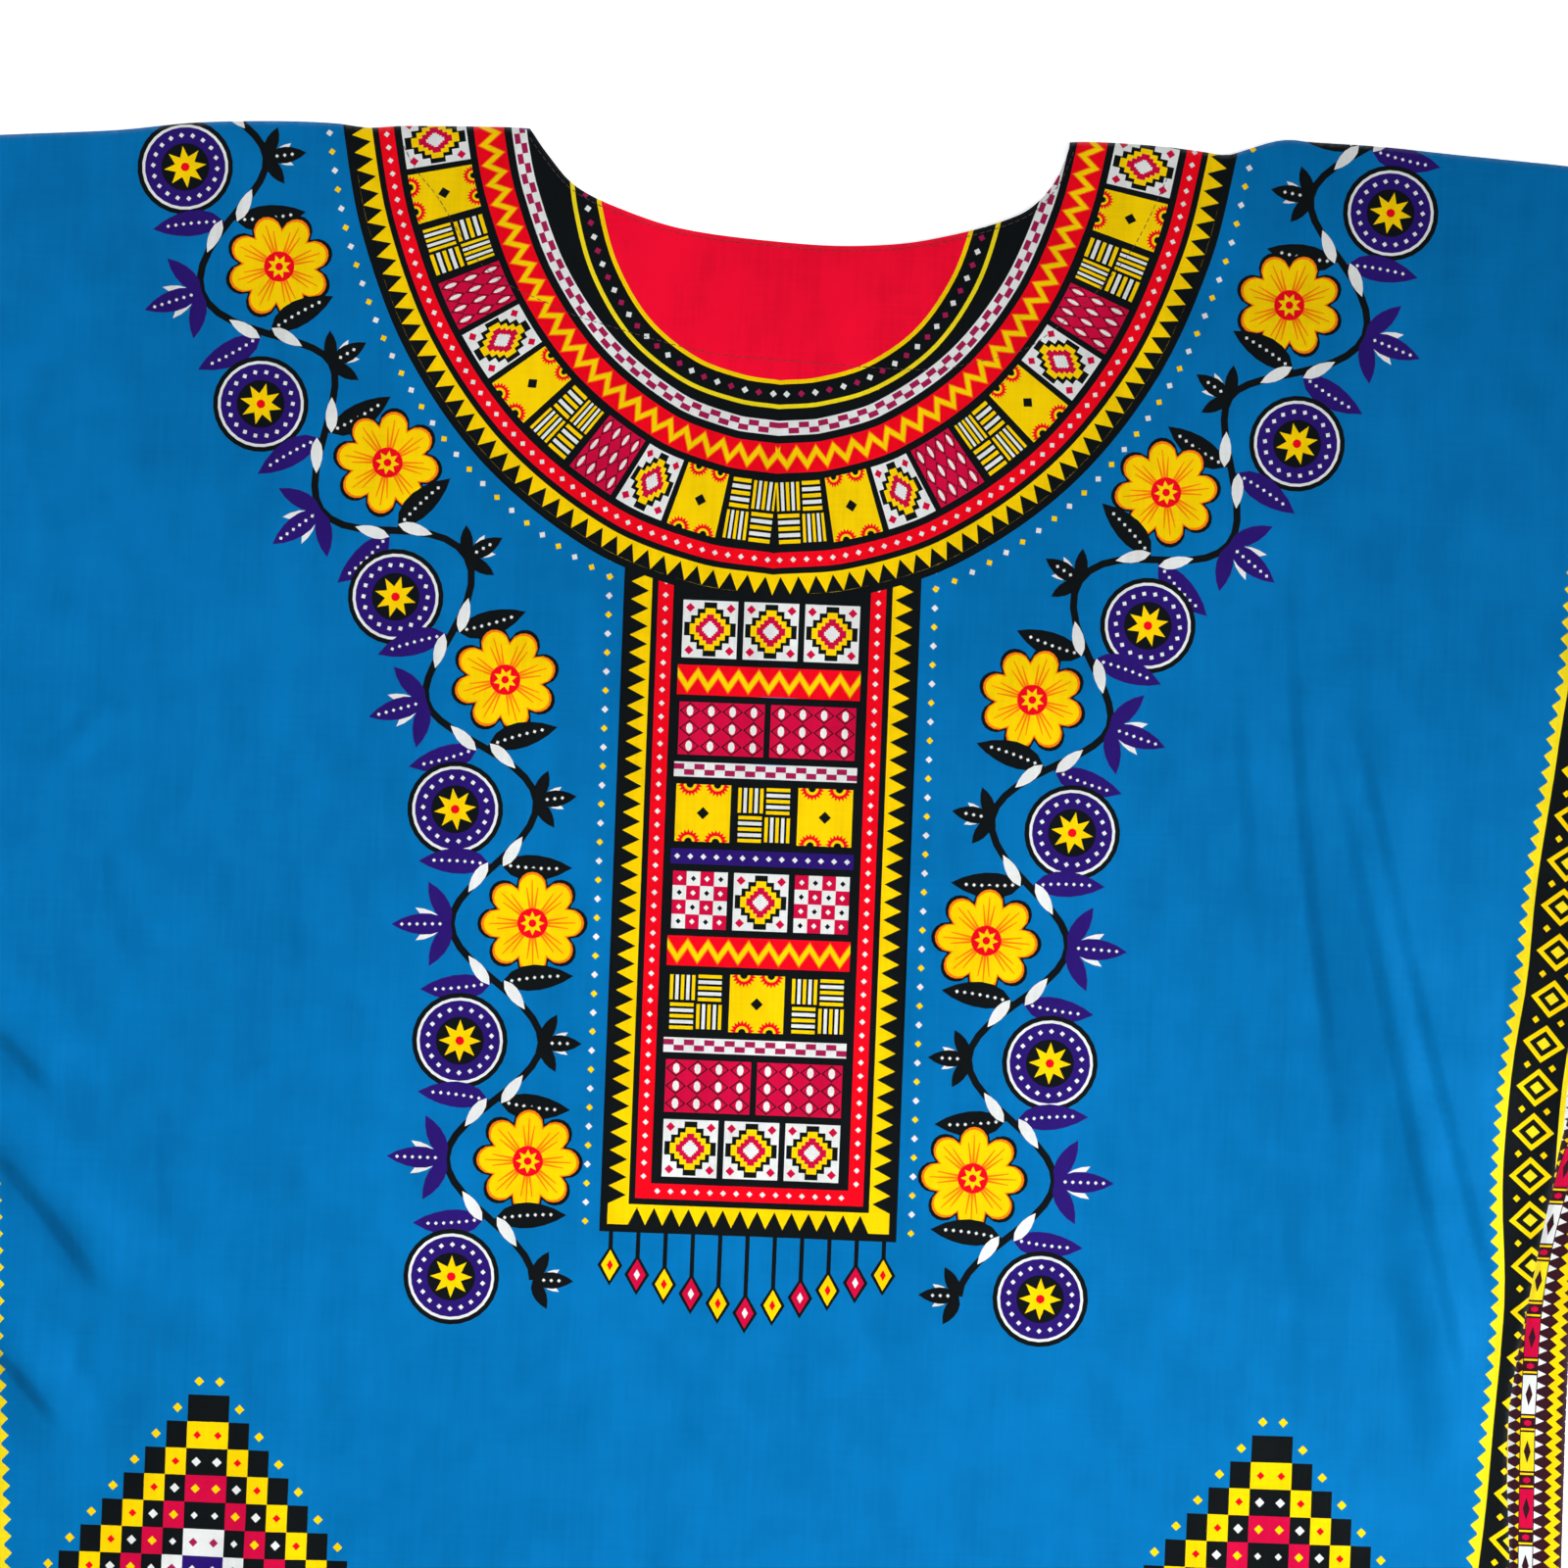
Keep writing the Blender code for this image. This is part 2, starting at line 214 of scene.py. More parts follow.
@dataclass(frozen=True)
class Cut:
    """The flat cut that both panels share, in millimetres."""

    length: float = 785.0
    sleeve_depth: float = 292.0
    shoulder_rise: float = 7.5
    corner_ease: float = 12.0
    seam_gap: float = 0.04
    shoulder_minus_x: tuple[Station, ...] = (
        (-402, 17.5), (-330, 10.6), (-281, 6.7), (-249, 2.4), (-214, 0.4), (-190, 0.4), (-176, 1.7),
        (-163, 0.5), (-120, -0.7), (-108.8, -0.6),
    )
    neckline: tuple[Station, ...] = (
        (-108.8, -0.6), (-101, 9.9), (-89, 22.6), (-70, 31.4), (-43, 39), (0, 43),
        (30, 43.3), (60, 39.5), (97, 27.7), (110, 15.5), (116.6, 0), (117, -3.4),
    )
    shoulder_plus_x: tuple[Station, ...] = (
        (117, -3.4), (126, -3.9), (143, -3.7), (160, -2.8), (173, -1.6), (183, -0.6), (191, -3.2),
        (202, -6.9), (209, -8.0), (217, -7.4), (246, -6.6), (277, -4.5), (326, -1.4), (402, 4.2),
    )
    # Down, half width, radius of the roll, and how far round it the seam has crept.
    side_rows: tuple[tuple[float, float, float, float], ...] = (
        (292, 399, 0.65, 0),
        (345, 371, 1.5, 9),
        (395, 355, 2.0, 15),
        (430, 349.2, 2.1, 16),
        (470, 345.5, 2.2, 19.1),
        (515, 344.6, 2.2, 24.6),
        (545, 344.7, 2.2, 25),
        (585, 345, 2.2, 22.8),
        (785, 347, 2.1, 19.5),
    )
    top: Array = field(init=False)

    def __post_init__(self) -> None:
        """Work out the top line once."""
        parts = [
            smooth_line(self.shoulder_minus_x, 5),
            smooth_line(self.neckline, 2)[1:],
            smooth_line(self.shoulder_plus_x, 5)[1:],
        ]
        object.__setattr__(self, "top", np.vstack(parts))

    @property
    def shoulder_y(self) -> float:
        """Y of the shoulder line on the shirt."""
        return (self.length - self.shoulder_rise) / 2

    def top_at(self, across: Array) -> Array:
        """Return how far down the top edge is at places across."""
        return np.interp(across, self.top[:, 0], self.top[:, 1])

    def side(self, down: Array) -> SideShape:
        """Return the shape of the rolled side at distances down."""
        downs, *columns = zip(*self.side_rows)
        return SideShape(*(smooth_values(downs, column, down) for column in columns))

    def started(self, down: Array) -> Array:
        """Return how far the roll has begun, from 0 at the underarm to 1 below it."""
        return ease((down - self.sleeve_depth) / self.corner_ease)

    def edges(self, face: Face, down: Array) -> tuple[Array, Array]:
        """Return the left and right edges of a panel's flat cut below the underarm.

        Args:
            face: The panel.
            down: Distances down.

        Returns:
            How far across the left and the right edges are.
        """
        side = self.side(down)
        turn = side.seam * face.value
        started = self.started(down)
        wide = side.half_width
        left = wide + (side.outermost - self.seam_gap / 2 + turn - wide) * started
        right = wide + (side.outermost - self.seam_gap / 2 - turn - wide) * started
        return -left, right

    def runs(self, face: Face, step: float) -> list[tuple[Edge, Array]]:
        """List the edges round a panel, clockwise from the top of the sleeve at -X.

        Args:
            face: The panel.
            step: About how far apart the points are.

        Returns:
            The kind of each edge, with its points.
        """
        downs = np.concatenate((
            np.linspace(self.sleeve_depth, self.sleeve_depth + self.corner_ease, 6),
            straight_line((self.sleeve_depth + self.corner_ease, 0), (self.length, 0), step)[1:, 0],
        ))
        left, right = self.edges(face, downs)
        left_side = np.column_stack((left, downs))
        right_side = np.column_stack((right, downs))
        return [
            (Edge.SHOULDER, smooth_line(self.shoulder_minus_x, step)),
            (Edge.NECK, smooth_line(self.neckline, step / 2)),
            (Edge.SHOULDER, smooth_line(self.shoulder_plus_x, step)),
            (Edge.SLEEVE, straight_line(self.shoulder_plus_x[-1], right_side[0], step)),
            (Edge.SIDE, right_side),
            (Edge.BOTTOM, straight_line(right_side[-1], left_side[-1], step)),
            (Edge.SIDE, left_side[::-1]),
            (Edge.SLEEVE, straight_line(left_side[0], self.shoulder_minus_x[0], step)),
        ]


# --- How the cloth lies ------------------------------------------------------------------


@dataclass(frozen=True)
class Fold:
    """A soft ridge (or, with a negative height, a trough) of the cloth, in millimetres."""

    start: Station
    bend: Station
    end: Station
    half_width: float
    height: float
    left_share: float = 1.0  # width of its left-hand flank, as a share of the other's
    fade: float = 0.35  # share of its length in which each end comes up

    def line(self, step: float) -> Array:
        """Return points along the fold's middle."""
        return smooth_line((self.start, self.bend, self.end), step)


# The folds that the shirt's solids have too.
MAIN_FOLDS = (
    # Drag folds that fall from the +X underarm.
    Fold((236, 268), (254, 345), (262, 430), 11, 3.4),
    Fold((250, 276), (274, 366), (291, 468), 11, 5.0),
    Fold((276, 292), (299, 372), (312, 446), 12, 4.4),
    Fold((268, 424), (288, 480), (298, 560), 10, 3.2),
    # Drag folds that slant in from the -X underarm.
    Fold((-332, 362), (-302, 388), (-276, 410), 11, 3.8),
    Fold((-318, 426), (-282, 454), (-250, 498), 12, 4.2),
    Fold((-324, 500), (-296, 524), (-276, 574), 11, 3.4),
    # Long soft folds down the skirt to the bottom hem.
    Fold((-196, 560), (-206, 680), (-198, 786), 17, 4.4),
    Fold((-84, 610), (-72, 700), (-78, 786), 15, 3.2),
    Fold((58, 590), (70, 690), (62, 786), 16, 3.8),
    Fold((206, 572), (222, 680), (226, 786), 17, 4.6),
    # Folds across the sleeves, from below the shoulder to the hems.
    Fold((-262, 74), (-318, 82), (-401, 108), 14, 4.2),
    Fold((-276, 246), (-316, 226), (-400, 214), 14, 4.6),
    Fold((296, 58), (332, 66), (402, 92), 14, 4.0),
    Fold((284, 216), (334, 208), (400, 222), 15, 4.8),
)
# Finer creases, which only the cloth itself has.
FINE_CREASES = (
    # The sharp lines of the drag folds at +X.
    Fold((216, 150), (230, 284), (251, 418), 3.8, 1.75, 2.8, 0.34),
    Fold((238, 236), (272, 378), (308, 522), 4.0, 1.65, 2.2, 0.15),
    Fold((249, 228), (279, 349), (320, 484), 3.8, 2.3, 2.4, 0.16),
    Fold((198, 206), (204, 262), (211, 322), 4.2, 1.2, 2.2),
    Fold((321, 312), (318, 352), (314, 412), 4.0, 1.5, 1.8),
    Fold((226, 424), (233, 466), (240, 526), 4.4, 0.8, 2.4),
    # Short creases at -X, some of them sharper than the folds that they cross.
    Fold((-332, 366), (-306, 388), (-286, 410), 4.6, 2.2, 2.0, 0.25),
    Fold((-338, 408), (-293, 451), (-258, 497), 5.0, 2.9, 2.2, 0.36),
    Fold((-330, 500), (-303, 520), (-278, 548), 4.2, 2.6, 2.2, 0.22),
    Fold((-272, 300), (-268, 316), (-266, 336), 4.0, 1.1, 2.0),
    Fold((-190, 300), (-190, 330), (-187, 366), 4.0, 0.9, 2.0),
    Fold((-241, 400), (-241, 440), (-236, 474), 4.0, 0.6, 2.2),
    Fold((-262, 500), (-272, 520), (-274, 548), 4.4, 0.8, 2.0),
    Fold((-302, 277), (-286, 262), (-274, 246), 5.0, 1.7),
    Fold((-270, 345), (-259, 342), (-247, 345), 4.5, 1.0),
    Fold((-215, 404), (-209, 399), (-203, 397), 4.0, 0.8),
    # Pressed lines below the shoulders.
    Fold((-304, 77), (-284, 73), (-262, 76), 4.5, -0.8),
    Fold((-330, 104), (-316, 92), (-304, 86), 4.5, 0.7),
    Fold((298, 17), (314, 12), (330, 12), 4.0, -0.6),
    Fold((328, 34), (312, 50), (298, 60), 4.5, 0.8),
    # Soft rumples of the open field.
    Fold((-196, 236), (-222, 262), (-262, 268), 9, 1.1),
    Fold((196, 196), (232, 222), (262, 228), 9, 0.8),
    Fold((-170, 470), (-206, 486), (-236, 524), 10, 0.8),
    Fold((150, 486), (196, 508), (214, 556), 10, 0.9),
    Fold((-40, 548), (-14, 612), (-18, 690), 11, 0.9),
    Fold((118, 540), (134, 620), (128, 706), 11, 1.0),
    Fold((-146, 596), (-138, 668), (-142, 742), 10, 0.9),
    Fold((282, 600), (276, 664), (286, 730), 9, 1.0),
    Fold((-272, 610), (-262, 672), (-270, 748), 9, 1.1),
    Fold((12, 120), (8, 210), (-4, 300), 13, 0.6),
    Fold((126, 132), (140, 196), (134, 262), 12, 0.6),
    Fold((-134, 128), (-146, 190), (-138, 272), 12, 0.6),
)
# Shallow pressed lines of the back, which is flat against what it lies on.
BACK_CREASES = (
    Fold((-300, 120), (-120, 128), (60, 118), 9, 0.22),
    Fold((-40, 180), (-46, 420), (-34, 700), 10, 0.26),
    Fold((90, 300), (190, 312), (300, 296), 9, 0.2),
    Fold((150, 420), (164, 560), (152, 740), 9, 0.24),
    Fold((-260, 380), (-238, 520), (-246, 700), 10, 0.24),
    Fold((-210, 250), (-120, 262), (-60, 300), 8, 0.18),
)


@dataclass(frozen=True)
class Ripple:
    """A low even wave of the upper cloth, in millimetres and degrees."""

    spacing: float
    heading: float
    height: float
    phase: float

    def at(self, places: Array) -> Array:
        """Return the wave's height at places on the cloth."""
        turn = math.radians(self.heading)
        along = places @ np.array((math.cos(turn), math.sin(turn)))
        return self.height * np.sin(2 * math.pi * along / self.spacing + self.phase)


RIPPLES = (
    Ripple(spacing=148, heading=12, height=0.34, phase=0.4),
    Ripple(spacing=97, heading=-21, height=0.22, phase=2.1),
    Ripple(spacing=61, heading=78, height=0.10, phase=1.2),
    Ripple(spacing=43, heading=5, height=0.08, phase=3.3),
)


@dataclass(frozen=True)
class Lay:
    """How the two panels lie, in millimetres."""

    cut: Cut
    loft: float = 1.9
    loft_ease: float = 55.0
    roll_ease: float = 30.0
    fold_step: float = 18.0
    sleeve_end: float = 400.0  # a fold that ends past it runs out at the hem

    def relief(self, folds: Sequence[Fold], places: Array) -> Array:
        """Return how far some folds lift the cloth at places on it.

        Args:
            folds: The folds.
            places: Places on the cloth.

        Returns:
            The lift at each place.
        """
        total = np.zeros(len(places))
        for fold in folds:
            line = fold.line(self.fold_step)
            near = near_box(line, places, 2 * fold.half_width * max(fold.left_share, 1.0))
            distance, position, on_left = nearest_on_line(line, places[near])
            reach = 2 * fold.half_width * np.where(on_left, fold.left_share, 1.0)
            share = position / (len(line) - 1)
            to_hem = fold.end[1] > self.cut.length or abs(fold.end[0]) >= self.sleeve_end
            ends = ease(share / fold.fade)
            if not to_hem:
                ends = ends * ease((1 - share) / fold.fade)
            total[near] += fold.height * ends * ease(1 - distance / reach)
        return total

    def upper_level(self, across: Array, down: Array) -> Array:
        """Return the level of the middle of the upper cloth.

        Args:
            across: How far across each place is.
            down: How far down it is.

        Returns:
            The level at each place.
        """
        places = np.column_stack((across, down))
        lift = self.loft + self.relief(MAIN_FOLDS, places) + self.relief(FINE_CREASES, places)
        lift = lift + sum(ripple.at(places) for ripple in RIPPLES)
        from_top = ease((down - self.cut.top_at(across)) / self.loft_ease)
        level = UPPER_LEVEL + lift * from_top
        side = self.cut.side(down)
        beside = 1 - ease((side.axis - np.abs(across)) / self.roll_ease)
        beside = beside * self.cut.started(down)
        return level + (UNDER_LEVEL + 2 * side.roll - level) * beside

    def under_level(self, places: Array) -> Array:
        """Return the level of the middle of the cloth that lies on the surface."""
        return UNDER_LEVEL + self.relief(BACK_CREASES, places)

    def middle(self, face: Face, places: Array) -> Array:
        """Lay the middle of a panel's cloth.

        Args:
            face: The panel.
            places: Places on its flat cut.

        Returns:
            Points on the laid shirt, with their down still measured from the shoulder line.
        """
        flat, down = places.T
        if face is Face.FRONT:
            plain = self.upper_level(flat, down)
        else:
            plain = self.under_level(places)
        side = self.cut.side(down)
        # Distance along the cloth from its outermost line, positive on the upper side.
        round_roll = (side.outermost - np.abs(flat)) * face.value
        angle = np.clip(round_roll / side.roll, -math.pi / 2, math.pi / 2)
        beyond = np.maximum(np.abs(round_roll) - side.quarter, 0)
        across = np.sign(flat) * (side.axis + side.roll * np.cos(angle) - beyond)
        level = UNDER_LEVEL + side.roll * (1 + np.sin(angle))
        level = np.where(beyond > 0, UNDER_LEVEL, level)
        above = (beyond > 0) & (round_roll > 0)
        if above.any():
            level[above] = self.upper_level(across[above], down[above])
        if face is Face.BACK:
            level = np.where((beyond > 0) & (round_roll < 0), plain, level)
        started = self.cut.started(down)
        across = flat + (across - flat) * started
        level = plain + (level - plain) * started
        return np.column_stack((across, down, level))


@dataclass(frozen=True)
class Finish:
    """The finished edges and sewn lines of a panel, in millimetres."""

    outer_skin: float = 0.5  # from the middle of the cloth to its outside
    inner_skin: float = 0.35
    shoulder_drop: float = 1.05
    back_drop: float = 0.08  # of the back at the shoulders
    shoulder_ease: float = 3.4
    seam_drop: float = 0.42
    seam_ease: float = 2.4
    edge_drop: float = 0.3
    edge_ease: float = 0.9
    hem_depth: float = 17.0
    hem_stitch: float = 15.4
    hem_step: float = 0.16
    step_ease: float = 1.6
    stitch_valley: float = 0.16
    valley_width: float = 1.5
    pucker: float = 0.13
    pucker_pitch: float = 8.5
    pucker_shift: float = 1.7  # radians
    shift_length: float = 23.0
    pucker_swell: float = 0.4
    swell_length: float = 31.0
    pucker_reach: float = 4.5
    neck_stitch: float = 2.2
    neck_lip: float = 0.44  # how far the rolled lip outside the neck's stitches falls away
    lip_start: float = 16.0
    rub_reach: float = 1.1
    neck_rub: float = 0.15
    side_rub: float = 0.3
    roll_rub: float = 0.6
    roll_rub_reach: float = 1.6
    facing: tuple[Station, ...] = (
        (-164, 3), (-155.6, 18.7), (-147, 28.6), (-124.5, 59.3), (-90.6, 75.7), (-77.8, 79.7),
        (-32.2, 90.3), (-2.6, 92.4), (31.5, 94), (63.9, 94), (78.6, 90.9), (105.3, 81.7),
        (141.6, 45), (161, 4),
    )


# --- The print ---------------------------------------------------------------------------


class Dye(Enum):
    """The dyes of the print, as sRGB colours."""

    FIELD_BLUE = "0071B4"
    BLACK = "0D1214"
    GOLD = "FFD500"
    LEMON = "F6DF1C"
    ORANGE = "FF7F0A"
    RED = "F4041C"
    NECK_RED = "FF0A33"
    CRIMSON = "CF0840"
    MAGENTA = "A51A52"
    INDIGO = "2A1470"
    MAROON = "35151F"
    WHITE = "E6E9E8"
    REVERSE = "0A6CA6"

    @property
    def linear(self) -> Colour:
        """The colour as linear light."""
        parts = [int(self.value[place : place + 2], 16) / 255 for place in (0, 2, 4)]
        return (*(((part + 0.055) / 1.055) ** 2.4 if part > 0.04045 else part / 12.92
                  for part in parts), 1.0)


@dataclass(frozen=True)
class Spot:
    """A place for a motif, with the way its top points, as an angle from +across to +down."""

    across: float
    down: float
    heading: float
    scale: float = 1.0

    def put(self, points: Array) -> Array:
        """Return a motif's own points at this place on the cloth."""
        up = np.array((math.cos(self.heading), math.sin(self.heading)))
        side = np.array((-up[1], up[0]))
        points = np.asarray(points, float) * self.scale
        return np.array((self.across, self.down)) + points[:, :1] * side + points[:, 1:] * up

    def moved(self, sideways: float, up: float, turn: float = 0.0, scale: float = 1.0) -> "Spot":
        """Return a place beside this one, in its own directions, turned by degrees."""
        across, down = self.put(np.array(((sideways, up),)))[0]
        return Spot(across, down, self.heading + math.radians(turn), self.scale * scale)


Shapes = list[tuple[Array, Dye]]


class Print:
    """Shapes of dye, in the order in which they cover each other."""

    def __init__(self) -> None:
        """Start with bare cloth."""
        self.shapes: Shapes = []

    def lay(self, outline: Array, dye: Dye) -> None:
        """Lay one closed shape of dye."""
        self.shapes.append((np.asarray(outline, float), dye))

    def stamp(self, spot: Spot, outline: Array, dye: Dye) -> None:
        """Lay one closed shape, given in a motif's own directions."""
        self.lay(spot.put(outline), dye)

    def lay_both_sides(self, half: "Print") -> None:
        """Lay the +X half of a pattern and its mirror image."""
        for outline, dye in half.shapes:
            self.lay(outline, dye)
            self.lay(outline * (-1, 1), dye)


def oval(wide: float, tall: float, count: int = 12, sideways: float = 0.0, up: float = 0.0) -> Array:
    """Return an oval of the given half sizes round a middle."""
    angles = np.arange(count) * 2 * math.pi / count
    return np.column_stack((sideways + wide * np.cos(angles), up + tall * np.sin(angles)))


def disc(radius: float, count: int) -> Array:
    """Return a round shape."""
    return oval(radius, radius, count)


def diamond(wide: float, tall: float, sideways: float = 0.0, up: float = 0.0) -> Array:
    """Return a diamond of the given half sizes round a middle."""
    return oval(wide, tall, 4, sideways, up)


def dot(radius: float, sideways: float = 0.0, up: float = 0.0) -> Array:
    """Return a small four-sided dot."""
    return diamond(radius, radius, sideways, up)


def oblong(corner: Station, opposite: Station) -> Array:
    """Return the corners of an oblong between two that face each other."""
    return np.array((corner, (corner[0], opposite[1]), opposite, (opposite[0], corner[1])))


def leaf(length: float, width: float, turn: float = 0.0, curl: float = 0.0, count: int = 6) -> Array:
    """Return a pointed leaf that grows from the motif's own origin.

    Args:
        length: From its foot to its tip.
        width: Across its widest part.
        turn: How far it leans to the side, in degrees.
        curl: How far its tip is bent to the side.
        count: Points along each edge.

    Returns:
        The leaf's outline.
    """
    share = np.linspace(0.0, 1.0, count + 1)
    half = width / 2 * np.sin(math.pi * share**0.85) ** 0.8
    bend = curl * share**2
    right = np.column_stack((bend + half, share * length))
    left = np.column_stack((bend - half, share * length))[-2:0:-1]
    outline = np.vstack((right, left))
    angle = math.radians(turn)
    across = outline[:, 0] * math.cos(angle) + outline[:, 1] * math.sin(angle)
    up = outline[:, 1] * math.cos(angle) - outline[:, 0] * math.sin(angle)
    return np.column_stack((across, up))


def ribbon(line: Array, width: float, end_width: float | None = None) -> Array:
    """Return the outline of a stroke along a line, which may narrow to its end.

    Args:
        line: The middle of the stroke.
        width: Its width at the start.
        end_width: Its width at the end, where that differs.

    Returns:
        The closed outline.
    """
    line = np.asarray(line, float)
    runs = np.gradient(line, axis=0)
    runs /= np.hypot(*runs.T)[:, None]
    out = np.column_stack((-runs[:, 1], runs[:, 0]))
    half = np.linspace(width, width if end_width is None else end_width, len(line))[:, None] / 2
    return np.vstack((line + out * half, (line - out * half)[::-1]))


def lobed(radius: float, lobes: int, depth: float, count: int = 8) -> Array:
    """Return a round shape with soft lobes, which dip by a depth between them."""
    angles = np.arange(lobes * count) * 2 * math.pi / (lobes * count)
    wave = np.abs(np.cos(lobes * angles / 2)) ** 0.7
    reach = radius - depth * (1 - wave)
    return np.column_stack((reach * np.sin(angles), reach * np.cos(angles)))


def star(outer: float, inner: float, rays: int) -> Array:
    """Return a star with straight rays."""
    angles = np.arange(2 * rays) * math.pi / rays
    reach = np.where(np.arange(2 * rays) % 2, inner, outer)
    return np.column_stack((reach * np.sin(angles), reach * np.cos(angles)))


def stepped_diamond(middle: Station, half_long: float, half_wide: float, steps: int) -> Array:
    """Return a diamond whose sides go in steps.

    Args:
        middle: Its middle.
        half_long: Half its size along the first direction.
        half_wide: Half its size along the second.
        steps: Steps on each side.

    Returns:
        Its outline.
    """
    corner = []
    for step in range(steps):
        reach = half_long * (1 - step / steps)
        corner += [(reach, half_wide * step / steps), (reach, half_wide * (step + 1) / steps)]
    corner = np.array(corner)
    parts = [corner, corner[::-1] * (-1, 1), corner * (-1, -1), corner[::-1] * (1, -1)]
    # The first point of the first and third parts is the last of the one before.
    return np.vstack((parts[0][1:], parts[1], parts[2][1:], parts[3])) + middle


class Track:
    """A line on the cloth that bands and motifs follow, with its outward side."""

    def __init__(self, line: Array, outward: Array | None = None) -> None:
        """Measure a line.

        Args:
            line: Its points. Outwards is to its left, as seen going along it.
            outward: Its outward directions, where they are known already.
        """
        self.line = line
        self.along = lengths_along(line)
        self.length = float(self.along[-1])
        if outward is None:
            runs = np.gradient(line, self.along, axis=0)
            outward = np.column_stack((runs[:, 1], -runs[:, 0]))
            if abs(line[-1, 0]) < 1e-6:
                outward[-1] = (0, 1)
        self.outward = outward / np.hypot(*outward.T)[:, None]

    def at(self, along: Array, out: Array) -> Array:
        """Return the places so far along the track and so far out from it.

        Args:
            along: Distances along the track.
            out: Distances out from it.

        Returns:
            The places on the cloth.
        """
        along = np.asarray(along, float)
        columns = []
        for axis in (0, 1):
            foot = np.interp(along, self.along, self.line[:, axis])
            lean = np.interp(along, self.along, self.outward[:, axis])
            columns.append(foot + np.asarray(out, float) * lean)
        return np.column_stack(columns)

    def bend(self, outline: Array, step: float = 5.0) -> Array:
        """Return a closed outline, given as (along, out), bent along the track.

        Args:
            outline: The outline.
            step: The longest stretch that stays straight.

        Returns:
            The outline on the cloth.
        """
        outline = np.asarray(outline, float)
        finer = []
        for start, end in zip(outline, np.roll(outline, -1, axis=0)):
            count = max(math.ceil(abs(end[0] - start[0]) / step), 1)
            finer.append(start + (end - start) * np.arange(count)[:, None] / count)
        finer = np.vstack(finer)
        return self.at(finer[:, 0], finer[:, 1])

    def moved(self, out: float) -> "Track":
        """Return the track moved outwards, ended where it meets the centre line.

        Args:
            out: How far to move it.

        Returns:
            The moved track.
        """
        line = self.line + out * self.outward
        over = np.nonzero(line[:, 0] < -1e-9)[0]
        if len(over) == 0 or self.line[-1, 0] < -1e-6:
            return Track(line, self.outward)
        last = over[0]
        share = line[last - 1, 0] / (line[last - 1, 0] - line[last, 0])
        meeting = line[last - 1] + (line[last] - line[last - 1]) * share
        meeting[0] = 0.0
        return Track(np.vstack((line[:last], meeting)), self.outward[: last + 1])

    def spot(self, along: float, out: float = 0.0, turn: float = 0.0, scale: float = 1.0) -> Spot:
        """Return a place on the track whose motif points outwards, turned by degrees."""
        across, down = self.at([along], [out])[0]
        lean = [np.interp(along, self.along, self.outward[:, axis]) for axis in (0, 1)]
        return Spot(across, down, math.atan2(lean[1], lean[0]) + math.radians(turn), scale)

    def both_sides(self) -> Array:
        """Return the closed shape inside this track and its mirror image."""
        return np.vstack((self.line, (self.line * (-1, 1))[-2::-1]))


@dataclass(frozen=True)
class Strip:
    """A stretch of cloth beside a track, between two distances out from it."""

    cloth: Print
    track: Track
    low: float
    high: float

    @property
    def middle(self) -> float:
        """How far out its middle is."""
        return (self.low + self.high) / 2

    @property
    def height(self) -> float:
        """Its width across the track."""
        return self.high - self.low

    def lay(self, outline: Sequence[Station] | Array, dye: Dye) -> None:
        """Print a small shape, given as (along, out)."""
        self.cloth.lay(self.track.at(*zip(*outline)), dye)

    def lay_bent(self, outline: Array, dye: Dye) -> None:
        """Print a longer shape, given as (along, out), bent along the track."""
        self.cloth.lay(self.track.bend(outline), dye)

    def spots(self, pitch: float) -> list[Spot]:
        """List places about a pitch apart along the strip's middle."""
        length = self.track.length
        count = round(length / pitch)
        return [self.track.spot((index + 0.5) * length / count, self.middle) for index in range(count)]


@dataclass(frozen=True)
class Teeth:
    """A row of triangles that stand on one side of a band."""

    dye: Dye
    pitch: float
    points_out: bool = True
    fill: float = 1.0  # share of the band's width that a tooth reaches
    base: float = 1.0  # share of the pitch that a tooth stands on

    def run(self, strip: Strip) -> None:
        """Print the row.

        Args:
            strip: Where it goes.
        """
        foot, tip = (strip.low, strip.high) if self.points_out else (strip.high, strip.low)
        tip = foot + (tip - foot) * self.fill
        count = round(strip.track.length / self.pitch)
        pitch = strip.track.length / count
        half = pitch * self.base / 2
        for index in range(count):
            middle = (index + 0.5) * pitch
            strip.lay(((middle - half, foot), (middle, tip), (middle + half, foot)), self.dye)


@dataclass(frozen=True)
class Zigzag:
    """A zigzag that runs in the middle of a band, with an edge of a second dye."""

    dye: Dye
    edge_dye: Dye
    pitch: float
    weight: float
    edge: float
    swing: float  # share of the band's width

    def run(self, strip: Strip) -> None:
        """Print the zigzag.

        Args:
            strip: Where it goes.
        """
        count = 2 * round(strip.track.length / self.pitch)
        along = np.linspace(0.0, strip.track.length, count + 1)
        swing = strip.height * self.swing / 2
        out = strip.middle + swing * np.where(np.arange(count + 1) % 2, 1, -1)
        for weight, dye in ((self.weight + self.edge, self.edge_dye), (self.weight, self.dye)):
            upper = strip.track.at(along, out + weight / 2)
            lower = strip.track.at(along, out - weight / 2)
            strip.cloth.lay(np.vstack((upper, lower[::-1])), dye)


@dataclass(frozen=True)
class Beads:
    """A row of small diamonds in the middle of a band, in one dye or in two by turns."""

    dyes: tuple[Dye, ...]
    pitch: float
    radius: float
    stretch: float = 1.0

    def run(self, strip: Strip) -> None:
        """Print the row.

        Args:
            strip: Where it goes.
        """
        outline = diamond(self.radius * self.stretch, self.radius)
        for index, spot in enumerate(strip.spots(self.pitch)):
            strip.cloth.stamp(spot, outline, self.dyes[index % len(self.dyes)])


